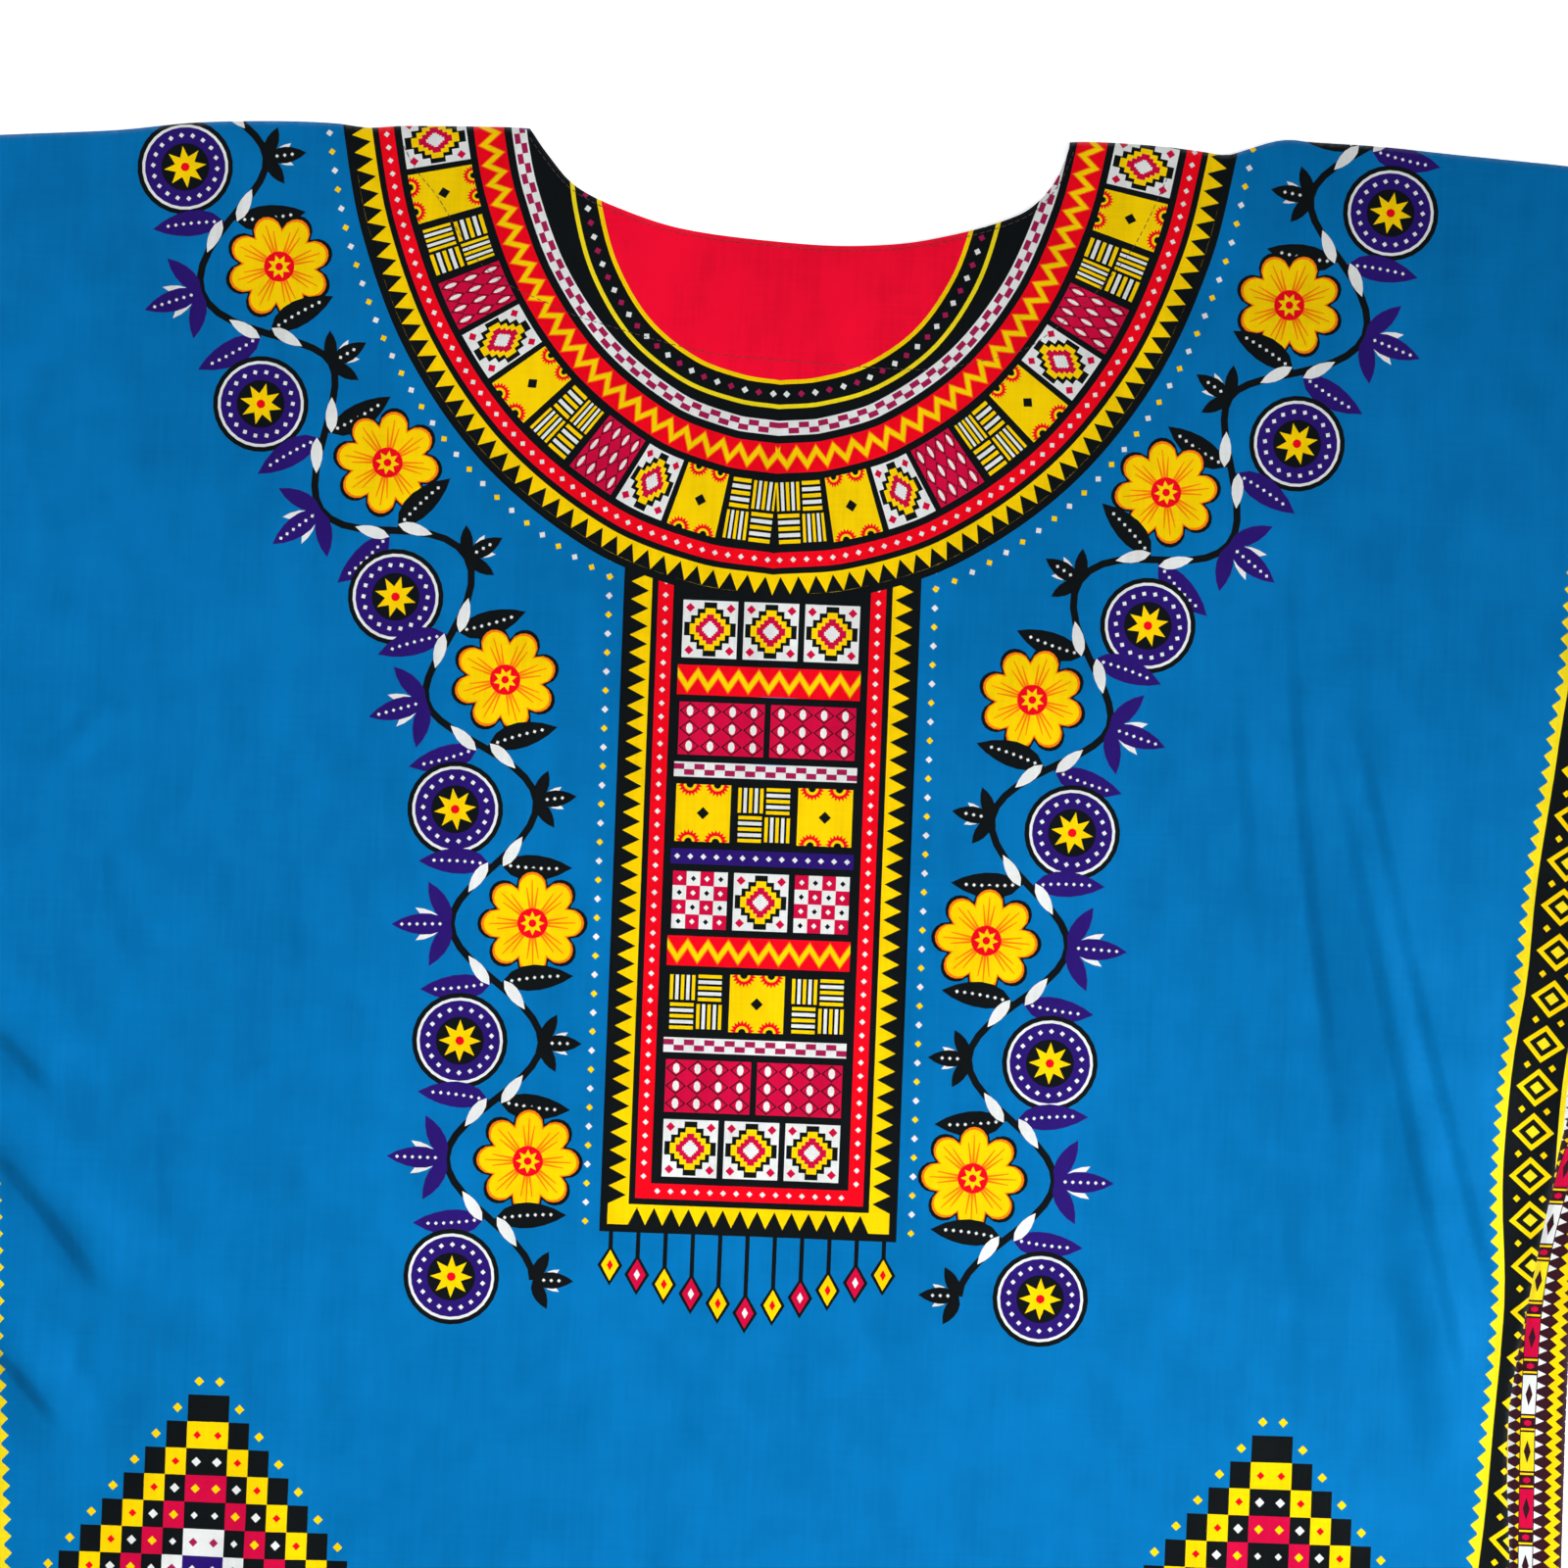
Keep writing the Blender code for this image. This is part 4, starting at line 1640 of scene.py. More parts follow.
@dataclass(frozen=True)
class ShirtPrint:
    """The whole placement of the print on a panel, in millimetres."""

    side_line: tuple[Station, ...] = ((346.6, -24), (291.2, 809))
    # The same line at the front's +X side, where the drag folds draw the cloth in.
    drawn_line: tuple[Station, ...] = (
        (346.6, -24), (331.7, 200), (327.2, 248), (320.9, 300), (318.4, 338), (313.2, 376), (311.2, 412),
        (311.6, 434), (314.2, 470), (313.6, 492), (311.8, 522), (309.6, 562), (305.4, 610), (291.2, 809),
    )
    back_line: tuple[Station, ...] = ((309.5, -24), (304.7, 809))
    hem_height: float = 46.0
    edge_tooth: float = 3.2
    edge_lap: float = 0.4  # how far the teeth reach under the border

    def for_panel(self, face: Face, cut: Cut) -> Print:
        """Print one panel.

        Args:
            face: The panel. Only the front has the red half moon below its neckline.
            cut: The cut of the cloth.

        Returns:
            The shapes of dye on the flat cut.
        """
        cloth = Print()
        collar = Collar()
        print_outer_seeds(cloth, collar.edge)
        Scroll().print_on(cloth)
        Placket().print_on(cloth)
        collar.print_on(cloth)
        if face is Face.FRONT:
            NeckFall().print_on(cloth)
        half = Print()
        SkirtDiamond().print_on(half)
        cloth.lay_both_sides(half)
        hem_line = cut.length - self.hem_height
        side_lines = {1: self.back_line, -1: self.back_line}
        if face is Face.FRONT:
            side_lines = {1: self.drawn_line, -1: self.side_line}
        reach = side_lines[-1][0][0]
        hem = Border(((reach, hem_line), (-reach, hem_line)), HEM_BANDS)
        self.edge_teeth(cloth, hem)
        hem.print_on(cloth)
        for side, stations in side_lines.items():
            half = Print()
            border = Border(stations, SIDE_BANDS)
            self.edge_teeth(half, border)
            border.print_on(half)
            for outline, dye in half.shapes:
                cloth.lay(outline * (side, 1), dye)
        return cloth

    def edge_teeth(self, cloth: Print, border: Border) -> None:
        """Print the small teeth that a border shows towards the plain field."""
        strip = Strip(cloth, border.track, -self.edge_tooth, self.edge_lap)
        Teeth(Dye.LEMON, 7.0, points_out=False).run(strip)


# --- The cloth as a mesh -----------------------------------------------------------------


class FlatNet:
    """Points and lines on the flat cloth, ready to be cut into triangles."""

    def __init__(self) -> None:
        """Start with nothing."""
        self.points: list[Array] = []
        self.edges: list[Array] = []
        self.count = 0

    def add_line(self, line: Array, closed: bool = False) -> None:
        """Add a run of points and the edges between them."""
        ids = np.arange(self.count, self.count + len(line))
        follow = np.roll(ids, -1) if closed else ids[1:]
        self.edges.append(np.column_stack((ids[: len(follow)], follow)))
        self.points.append(line)
        self.count += len(line)

    def add_free(self, points: Array, clearance: float) -> None:
        """Add those points that lie clear of all that is there.

        Args:
            points: The points.
            clearance: How far they have to be from all that is there.
        """
        tree = kdtree.KDTree(self.count)
        for index, (across, down) in enumerate(np.vstack(self.points)):
            tree.insert((across, down, 0.0), index)
        tree.balance()
        clear = [tree.find((across, down, 0.0))[2] > clearance for across, down in points]
        kept = points[np.array(clear, bool)]
        self.points.append(kept)
        self.count += len(kept)

    def triangles(self, tolerance: float) -> tuple[Array, Array, list[list[int]]]:
        """Cut the net into triangles.

        Args:
            tolerance: Points nearer than this to each other become one.

        Returns:
            The points, the triangles (anticlockwise as seen from above the shirt), and for
            each point the added points that it stands for.
        """
        flat = [Vector((across, -down)) for across, down in np.vstack(self.points)]
        edges = np.vstack(self.edges).tolist()
        made = delaunay_2d_cdt(flat, edges, [], 0, tolerance)
        places = np.array([tuple(point) for point in made[0]]) * (1, -1)
        return places, np.array(made[2], int), made[3]


class Sorted:
    """Places sorted by their distance down, to find fast which lie inside a shape."""

    def __init__(self, places: Array) -> None:
        """Sort the places."""
        self.order = np.argsort(places[:, 1], kind="stable")
        self.across, self.down = places[self.order].T

    def inside(self, outline: Array) -> Array:
        """Return the indices of the places inside a closed shape.

        Args:
            outline: The shape.

        Returns:
            The indices.
        """
        ends = np.roll(outline, -1, axis=0)
        low, high = np.searchsorted(self.down, (outline[:, 1].min(), outline[:, 1].max()))
        firsts = np.searchsorted(self.down, np.minimum(outline[:, 1], ends[:, 1]))
        lasts = np.searchsorted(self.down, np.maximum(outline[:, 1], ends[:, 1]))
        within = np.zeros(high - low, bool)
        for start, end, first, last in zip(outline, ends, firsts, lasts):
            if last > first:
                slope = (end[0] - start[0]) / (end[1] - start[1])
                crossing = start[0] + (self.down[first:last] - start[1]) * slope
                within[first - low : last - low] ^= self.across[first:last] < crossing
        return self.order[low:high][within]


def moved_in(outline: Array, depth: float) -> Array:
    """Return a closed outline, clockwise on the flat cloth, moved inwards.

    Args:
        outline: The outline.
        depth: How far to move it.

    Returns:
        The moved outline, with as many points.
    """
    runs = np.roll(outline, -1, axis=0) - outline
    runs /= np.hypot(*runs.T)[:, None]
    after = np.column_stack((-runs[:, 1], runs[:, 0]))
    before = np.roll(after, 1, axis=0)
    mitre = (before + after) / np.maximum(1 + (before * after).sum(axis=1), 0.5)[:, None]
    return outline + depth * mitre


def boundary(triangles: Array) -> tuple[list[int], list[int]]:
    """Follow the outer edge of some triangles.

    Args:
        triangles: The triangles' points.

    Returns:
        The points round the edge, and the triangle that each of its edges belongs to.
    """
    starts = triangles.T.reshape(-1)
    ends = np.roll(triangles, -1, axis=1).T.reshape(-1)
    size = int(triangles.max()) + 1
    open_edges = ~np.isin(starts * size + ends, ends * size + starts)
    owners = np.tile(np.arange(len(triangles)), 3)[open_edges]
    follow = {
        int(start): (int(end), int(owner))
        for start, end, owner in zip(starts[open_edges], ends[open_edges], owners)
    }
    first = next(iter(follow))
    loop, loop_owners = [first], [follow[first][1]]
    while follow[loop[-1]][0] != first:
        loop.append(follow[loop[-1]][0])
        loop_owners.append(follow[loop[-1]][1])
    if len(loop) != len(follow):
        raise ValueError(f"the cloth's edge is {len(follow)} edges, and one way round is {len(loop)}")
    return loop, loop_owners


def new_piece(
    name: str, points: Array, faces: list[list[int]], material: bpy.types.Material
) -> bpy.types.Object:
    """Put a piece into the scene, at the origin.

    Args:
        name: Its name.
        points: Its points, in metres.
        faces: Its faces.
        material: Its finish.

    Returns:
        The piece, shaded smooth.
    """
    mesh = bpy.data.meshes.new(name)
    mesh.from_pydata(points.tolist(), [], faces)
    mesh.shade_smooth()
    mesh.materials.append(material)
    piece = bpy.data.objects.new(name, mesh)
    bpy.context.scene.collection.objects.link(piece)
    return piece


@dataclass(frozen=True)
class PrintedPanel:
    """One panel of printed cloth, as a thin shell with its own print."""

    name: str
    face: Face
    cut: Cut
    lay: Lay
    finish: Finish
    edge_step: float = 4.0
    field_step: float = 7.4
    field_reach: float = 412.0  # past both sleeve hems
    field_top: float = -10.0
    field_row_share: float = 0.87  # of the step, between its rows
    field_margin: float = 1.2  # inside the last inset
    row_clearance: float = 1.3
    lining_step: float = 9.0
    lining_margin: float = 4.0
    lining_clearance: float = 2.4
    insets: tuple[float, ...] = (0.4, 1.0, 1.9, 3.4)
    roll_steps: int = 4
    roll_gap: float = 5.0  # between the points of a line along the roll
    flank_rows: int = 9
    row_step: float = 5.0
    stitch_step: float = 3.0
    row_gap: float = 1.5  # between the rows of points along a sewn line
    print_tolerance: float = 0.02
    lining_tolerance: float = 1e-5

    def relief(self, places: Array) -> tuple[Array, Array, Array]:
        """Work out the finished edges and sewn lines.

        Args:
            places: Places on the flat cut.

        Returns:
            How far the outside and the inside stand out from the middle of the cloth, and
            how worn the cloth is, from 0 to 1.
        """
        finish = self.finish
        thick, sink, rounded, wear = np.zeros((4, len(places)))
        for kind, line in self.cut.runs(self.face, self.edge_step):
            near = near_box(line, places, finish.hem_depth + 3 * finish.step_ease + 2)
            distance, along = self.measured(line, places[near])
            rub = {Edge.NECK: finish.neck_rub, Edge.SIDE: finish.side_rub}.get(kind, 1.0)
            wear[near] = np.maximum(wear[near], rub * np.exp(-((distance / finish.rub_reach) ** 2)))
            if kind is Edge.SHOULDER:
                drop = finish.shoulder_drop if self.face is Face.FRONT else finish.back_drop
                sink[near] += drop * (1 - ease(distance / finish.shoulder_ease))
            elif kind is Edge.SIDE:
                drop = np.full(len(near), finish.seam_drop)
                if self.face is Face.FRONT:
                    corner = 1 - self.cut.started(places[near, 1])
                    drop += (finish.shoulder_drop - finish.seam_drop) * corner
                sink[near] += drop * (1 - ease(distance / finish.seam_ease))
            else:
                rounded[near] += finish.edge_drop * (1 - ease(distance / finish.edge_ease))
                if kind is Edge.NECK:
                    lip = finish.neck_lip * (1 - ease(distance / finish.neck_stitch))
                    lip = lip * ease(places[near, 1] / finish.lip_start)
                    rounded[near] += lip
                    sink[near] += self.sewn(distance - finish.neck_stitch, along) + 0.5 * lip
                else:
                    step = 1 - ease((distance - finish.hem_depth) / finish.step_ease)
                    thick[near] = np.maximum(thick[near], step)
                    sink[near] += self.sewn(distance - finish.hem_stitch, along)
        facing = smooth_line(finish.facing, self.edge_step)
        near = near_box(facing, places, 4 * finish.pucker_reach)
        sink[near] += self.sewn(*self.measured(facing, places[near]))
        above = np.interp(places[:, 0], *facing.T, left=-99, right=-99) - places[:, 1]
        thick = np.maximum(thick, ease(above / finish.step_ease + 0.5))
        outer = finish.outer_skin - finish.hem_step * (1 - thick) - sink - rounded
        if self.face is Face.BACK:
            outer = np.minimum(outer, finish.outer_skin)
        side = self.cut.side(places[:, 1])
        from_roll = np.abs(side.outermost - np.abs(places[:, 0]))
        rubbed = finish.roll_rub * np.exp(-from_roll / finish.roll_rub_reach)
        wear = np.maximum(wear, rubbed * self.cut.started(places[:, 1]))
        return outer, -finish.inner_skin - sink, wear

    def measured(self, line: Array, places: Array) -> tuple[Array, Array]:
        """Return how far places are from a line, and how far along it."""
        distance, position, _ = nearest_on_line(line, places)
        return distance, np.interp(position, np.arange(len(line)), lengths_along(line))

    def sewn(self, distance: Array, along: Array) -> Array:
        """Return how deep the cloth is drawn in beside a line of stitches.

        Args:
            distance: Distances from the stitches.
            along: Distances along them.

        Returns:
            The depth at each place.
        """
        finish = self.finish
        valley = finish.stitch_valley * np.exp(-((distance / finish.valley_width) ** 2))
        # The puckers' spacing and depth wander slowly along the line.
        shift = finish.pucker_shift * np.sin(along / finish.shift_length)
        wave = np.cos(2 * math.pi * along / finish.pucker_pitch + shift)
        swell = 1 - finish.pucker_swell + finish.pucker_swell * np.sin(along / finish.swell_length)
        pucker = finish.pucker * swell * wave
        return valley + pucker * np.exp(-((distance / finish.pucker_reach) ** 2))

    def middle_and_normal(self, places: Array) -> tuple[Array, Array]:
        """Return the middle of the laid cloth and its upward direction, in millimetres."""
        right, left, up, down = (self.lay.middle(self.face, places + step) for step in PROBES)
        normal = np.cross((right - left) * (1, -1, 1), (up - down) * (1, -1, 1))
        normal /= np.linalg.norm(normal, axis=1)[:, None]
        return self.lay.middle(self.face, places) * (1, -1, 1), normal

    def skins(self, places: Array) -> tuple[Array, Array, Array]:
        """Return points on the outside and the inside of the laid cloth, and the wear.

        Args:
            places: Places on the flat cut.

        Returns:
            The points outside, the points inside and the wear at each.
        """
        middle, normal = self.middle_and_normal(places)
        out = normal * self.face.value
        outer, inner, wear = self.relief(places)
        outside = middle + out * outer[:, None]
        if self.face is Face.BACK:
            outside[:, 2] = np.maximum(outside[:, 2], 0.0)
        return outside, middle + out * inner[:, None], wear

    def outward(self, places: Array) -> Array:
        """Return the outward directions of the finished outside."""
        right, left, up, down = (self.skins(places + step)[0] for step in PROBES)
        normal = np.cross(right - left, up - down) * self.face.value
        return normal / np.linalg.norm(normal, axis=1)[:, None]

    def on_shirt(self, points: Array) -> Array:
        """Return points in the shirt's own frame, in metres."""
        return (points + (0.0, self.cut.shoulder_y, 0.0)) * MM

    def outline(self) -> Array:
        """Return the closed edge of the flat cut."""
        return np.vstack([line[:-1] for _, line in self.cut.runs(self.face, self.edge_step)])

    def sewn_lines(self) -> list[Array]:
        """List the lines that stitches follow on this panel.

        Returns:
            The points of each line.
        """
        finish = self.finish
        lines = [smooth_line(finish.facing, self.stitch_step)[2:-2]]
        depths = {
            Edge.NECK: finish.neck_stitch, Edge.SLEEVE: finish.hem_stitch, Edge.BOTTOM: finish.hem_stitch,
        }
        for kind, line in self.cut.runs(self.face, self.stitch_step):
            if kind in depths:
                runs = np.gradient(line, axis=0)
                runs /= np.hypot(*runs.T)[:, None]
                lines.append((line + depths[kind] * np.column_stack((-runs[:, 1], runs[:, 0])))[2:-2])
        return lines

    def roll_lines(self) -> list[Array]:
        """List the lines along the roll that its round form is made of.

        Returns:
            The points of each line.
        """
        start = self.cut.sleeve_depth + self.cut.corner_ease / 2
        downs = straight_line((start, 0), (self.cut.length - 0.2, 0), self.roll_gap)[:, 0]
        side = self.cut.side(downs)
        lines = []
        for part in range(-self.roll_steps, self.roll_steps + 1):
            flat = side.outermost + side.quarter * part / self.roll_steps
            lines.append(np.column_stack((-flat * self.face.value, downs)))
        return lines

    def rows(self) -> list[Array]:
        """List rows of points along the creases and the sewn lines.

        Returns:
            The points of each row.
        """
        rows = []
        folds = (*MAIN_FOLDS, *FINE_CREASES) if self.face is Face.FRONT else BACK_CREASES
        for fold in folds:
            track = Track(fold.line(self.row_step))
            for share in np.linspace(-1.0, 1.0, self.flank_rows):
                flank = 2 * fold.half_width * (fold.left_share if share > 0 else 1.0)
                rows.append(track.line + share * flank * track.outward)
        for line in self.sewn_lines():
            track = Track(smooth_line(line[::2], 2.1))
            for share in (-1, 0, 1):
                rows.append(track.line + share * self.row_gap * track.outward)
        return rows

    def field(self, step: float) -> Array:
        """Return a staggered grid of points over the panel."""
        downs = np.arange(self.field_top, self.cut.length, step * self.field_row_share)
        acrosses = np.arange(-self.field_reach, self.field_reach, step)
        across, down = np.meshgrid(acrosses, downs)
        across = across + (np.arange(len(downs)) % 2)[:, None] * step / 2
        return np.column_stack((across.ravel(), down.ravel()))

    def add_loose_points(self, net: FlatNet, margin: float, step: float, clearance: float) -> None:
        """Add the rows and then the field to a net, where they are clear of what is there.

        Args:
            net: The net.
            margin: How far inside the panel's edge they stay.
            step: Spacing of the field.
            clearance: How far the rows stay from what is there.
        """
        limit = moved_in(self.outline(), margin)
        for points, gap in ((np.vstack(self.rows()), clearance), (self.field(step), step * 0.5)):
            net.add_free(points[Sorted(points).inside(limit)], gap)

    def outside(self, cloth: Print) -> tuple[Array, Array, list[Dye]]:
        """Cut the outside into triangles along the print.

        Args:
            cloth: The panel's print.

        Returns:
            The flat points, the triangles and the dye of each.
        """
        outline = self.outline()
        net = FlatNet()
        net.add_line(outline, closed=True)
        for depth in self.insets:
            net.add_line(moved_in(outline, depth), closed=True)
        low, high = outline.min(axis=0) - 1, outline.max(axis=0) + 1
        shapes = [
            (shape, dye) for shape, dye in cloth.shapes
            if (shape.max(axis=0) > low).all() and (shape.min(axis=0) < high).all()
        ]
        for shape, _ in shapes:
            far = np.hypot(*(shape - np.roll(shape, 1, axis=0)).T) > self.print_tolerance * 2
            if far.sum() > 2:
                net.add_line(shape[far], closed=True)
        for line in self.roll_lines():
            net.add_line(line)
        margin = self.insets[-1] + self.field_margin
        self.add_loose_points(net, margin, self.field_step, self.row_clearance)
        places, triangles, _ = net.triangles(self.print_tolerance)
        middles = places[triangles].mean(axis=1)
        kept = np.zeros(len(triangles), bool)
        kept[Sorted(middles).inside(outline)] = True
        triangles = triangles[kept]
        lookup = Sorted(middles[kept])
        dyes = list(Dye)
        colour = np.full(len(triangles), dyes.index(Dye.FIELD_BLUE))
        for shape, dye in shapes:
            colour[lookup.inside(shape)] = dyes.index(dye)
        return places, triangles, [dyes[index] for index in colour]

    def lining(self, loop: Array) -> tuple[Array, Array, Array]:
        """Cut the inside into triangles.

        Args:
            loop: The points of the outside's own edge.

        Returns:
            The flat points, the triangles, and the point that stands for each of the loop's.
        """
        net = FlatNet()
        net.add_line(loop, closed=True)
        for line in self.roll_lines():
            net.add_line(line[2:-1])
        self.add_loose_points(net, self.lining_margin, self.lining_step, self.lining_clearance)
        places, triangles, sources = net.triangles(self.lining_tolerance)
        triangles = triangles[Sorted(places[triangles].mean(axis=1)).inside(loop)]
        twins = np.zeros(len(loop), int)
        for point, added in enumerate(sources):
            for source in added:
                if source < len(loop):
                    twins[source] = point
        return places, triangles, twins

    def build(self, material: bpy.types.Material) -> bpy.types.Object:
        """Build the panel's shell.

        Args:
            material: The printed cotton.

        Returns:
            The panel, at the origin.
        """
        cloth = ShirtPrint().for_panel(self.face, self.cut)
        places, triangles, dyes = self.outside(cloth)
        loop, owners = boundary(triangles)
        used, packed = np.unique(triangles, return_inverse=True)
        triangles = packed.reshape(-1, 3)
        loop = np.searchsorted(used, loop)
        places = places[used]
        under, under_triangles, twins = self.lining(places[loop])

        outside, _, wear = self.skins(places)
        _, inside, under_wear = self.skins(under)
        twins = twins + len(places)
        under_triangles = under_triangles + len(places)
        after = np.roll(np.arange(len(loop)), -1)
        rim = np.column_stack((loop[after], loop, twins, twins[after]))
        if self.face is Face.FRONT:
            under_triangles = under_triangles[:, ::-1]
        else:
            triangles = triangles[:, ::-1]
            rim = rim[:, ::-1]

        points = self.on_shirt(np.vstack((outside, inside)))
        faces = triangles.tolist() + under_triangles.tolist() + rim.tolist()
        piece = new_piece(self.name, points, faces, material)
        mesh = piece.data
        counts = (len(triangles), len(under_triangles), len(rim))
        face_dyes = dyes + [Dye.REVERSE] * counts[1] + [dyes[owner] for owner in owners]
        self.dress(mesh, counts, face_dyes, np.vstack((places, under)), np.concatenate((wear, under_wear)))
        normals = np.vstack((
            self.outward(places)[triangles.ravel()],
            (-self.middle_and_normal(under)[1] * self.face.value)[under_triangles.ravel() - len(places)],
            np.zeros((4 * counts[2], 3)),  # the rim keeps its own
        ))
        mesh.normals_split_custom_set(normals)
        LOG.info("%s: %d triangles outside, %d inside, %d shapes of dye",
                 self.name, counts[0], counts[1], len(cloth.shapes))
        return piece

    def dress(
        self, mesh: bpy.types.Mesh, counts: tuple[int, int, int], dyes: list[Dye], flat: Array, wear: Array
    ) -> None:
        """Give the mesh its dyes, its wear and its flat places.

        Args:
            mesh: The panel's mesh.
            counts: Faces of its outside, its inside and its rim.
            dyes: The dye of each face.
            flat: The flat place of each point.
            wear: The wear of each point.
        """
        corners = np.repeat(np.arange(len(dyes)), [3] * (counts[0] + counts[1]) + [4] * counts[2])
        table = {dye: dye.linear for dye in Dye}
        colours = np.array([table[dye] for dye in dyes])[corners]
        layer = mesh.color_attributes.new(DYE_ATTRIBUTE, "FLOAT_COLOR", "CORNER")
        layer.data.foreach_set("color", colours.ravel())
        layer = mesh.attributes.new(WEAR_ATTRIBUTE, "FLOAT", "POINT")
        layer.data.foreach_set("value", wear)
        points = np.empty(len(mesh.loops), int)
        mesh.loops.foreach_get("vertex_index", points)
        layer = mesh.uv_layers.new(name=CLOTH_UV)
        layer.uv.foreach_set("vector", (flat[points] * MM).ravel())

    def flat_area(self) -> float:
        """Return the area of the flat cut, in square metres."""
        across, down = self.outline().T
        return abs(across @ np.roll(down, 1) - down @ np.roll(across, 1)) / 2 * MM * MM

    def flat_size(self) -> tuple[float, float]:
        """Return the width and the length that the panel is cut from, in metres."""
        width, length = np.ptp(self.outline(), axis=0) * MM
        return float(width), float(length)


# --- The stitches ------------------------------------------------------------------------


@dataclass(frozen=True)
class Stitching:
    """The stitches that show on a panel, in millimetres."""

    panel: PrintedPanel
    pitch: float = 3.1
    long: float = 2.5
    thick: float = 0.32
    sides: int = 6
    straight_share: float = 0.6  # of its length, between its ends
    end_share: float = 0.2
    end_dip: float = 0.55  # of its thickness
    end_taper: float = 0.45
    seat: float = 0.07  # how far a stitch's middle stands above the cloth

    def one_stitch(self) -> tuple[Array, list[list[int]]]:
        """Model one stitch, along X, with round ends that dip into the cloth.

        Returns:
            Its points in millimetres and its faces.
        """
        bpy.ops.object.select_all(action="DESELECT")
        bpy.ops.mesh.primitive_cylinder_add(
            vertices=self.sides, radius=self.thick / 2, depth=self.long * self.straight_share,
            rotation=(0, math.pi / 2, 0),
        )
        piece = bpy.context.object
        bpy.ops.object.transform_apply(location=True, rotation=True, scale=True)
        mesh = piece.data
        for side in (-1, 1):
            bpy.ops.object.mode_set(mode="OBJECT")
            for element in (*mesh.polygons, *mesh.edges, *mesh.vertices):
                element.select = False
            end = max(mesh.polygons, key=lambda face: face.center.x * side)
            end.select = True
            bpy.ops.object.mode_set(mode="EDIT")
            bpy.ops.mesh.select_mode(type="FACE")
            step = (side * self.long * self.end_share, 0, -self.thick * self.end_dip)
            bpy.ops.mesh.extrude_region_move(TRANSFORM_OT_translate={"value": step})
            bpy.ops.transform.resize(value=(1, self.end_taper, self.end_taper))
        bpy.ops.object.mode_set(mode="OBJECT")
        points = np.array([tuple(vert.co) for vert in mesh.vertices])
        faces = [list(face.vertices) for face in mesh.polygons]
        bpy.data.objects.remove(piece, do_unlink=True)
        bpy.data.meshes.remove(mesh)
        return points, faces

    def build(self, name: str, material: bpy.types.Material) -> bpy.types.Object:
        """Copy the stitch along every sewn line.

        Args:
            name: The name of the joined piece.
            material: The thread.

        Returns:
            All of the panel's stitches, as one piece.
        """
        shape, shape_faces = self.one_stitch()
        middles, headings = [], []
        for line in self.panel.sewn_lines():
            lengths = lengths_along(line)
            count = int(lengths[-1] / self.pitch)
            along = (np.arange(count) + 0.5) * lengths[-1] / count
            ends = [
                np.column_stack([np.interp(along + way, lengths, line[:, axis]) for axis in (0, 1)])
                for way in (-self.long / 2, self.long / 2)
            ]
            middles.append((ends[0] + ends[1]) / 2)
            headings.append(ends[1] - ends[0])
        middles, headings = np.vstack(middles), np.vstack(headings)
        headings /= np.hypot(*headings.T)[:, None]
        centre = self.panel.skins(middles)[0]
        ahead = self.panel.skins(middles + headings * self.long / 2)[0]
        up = self.panel.outward(middles)
        along = ahead - centre
        along /= np.linalg.norm(along, axis=1)[:, None]
        side = np.cross(up, along)
        centre = centre + up * self.seat
        if self.panel.face is Face.BACK:
            centre[:, 2] = np.maximum(centre[:, 2], self.thick / 2)
        points = (
            centre[:, None]
            + shape[None, :, 0:1] * along[:, None]
            + shape[None, :, 1:2] * side[:, None]
            + shape[None, :, 2:3] * up[:, None]
        ).reshape(-1, 3)
        faces = [
            [corner + copy * len(shape) for corner in face]
            for copy in range(len(centre)) for face in shape_faces
        ]
        LOG.info("%s: %d stitches", name, len(centre))
        return new_piece(name, self.panel.on_shirt(points), faces, material)


# --- Finishes ----------------------------------------------------------------------------


Socket = bpy.types.NodeSocket
Material = bpy.types.Material
NodeTree = bpy.types.NodeTree
NUMBER = "NodeSocketFloat"
COLOUR = "NodeSocketColor"
VECTOR = "NodeSocketVector"


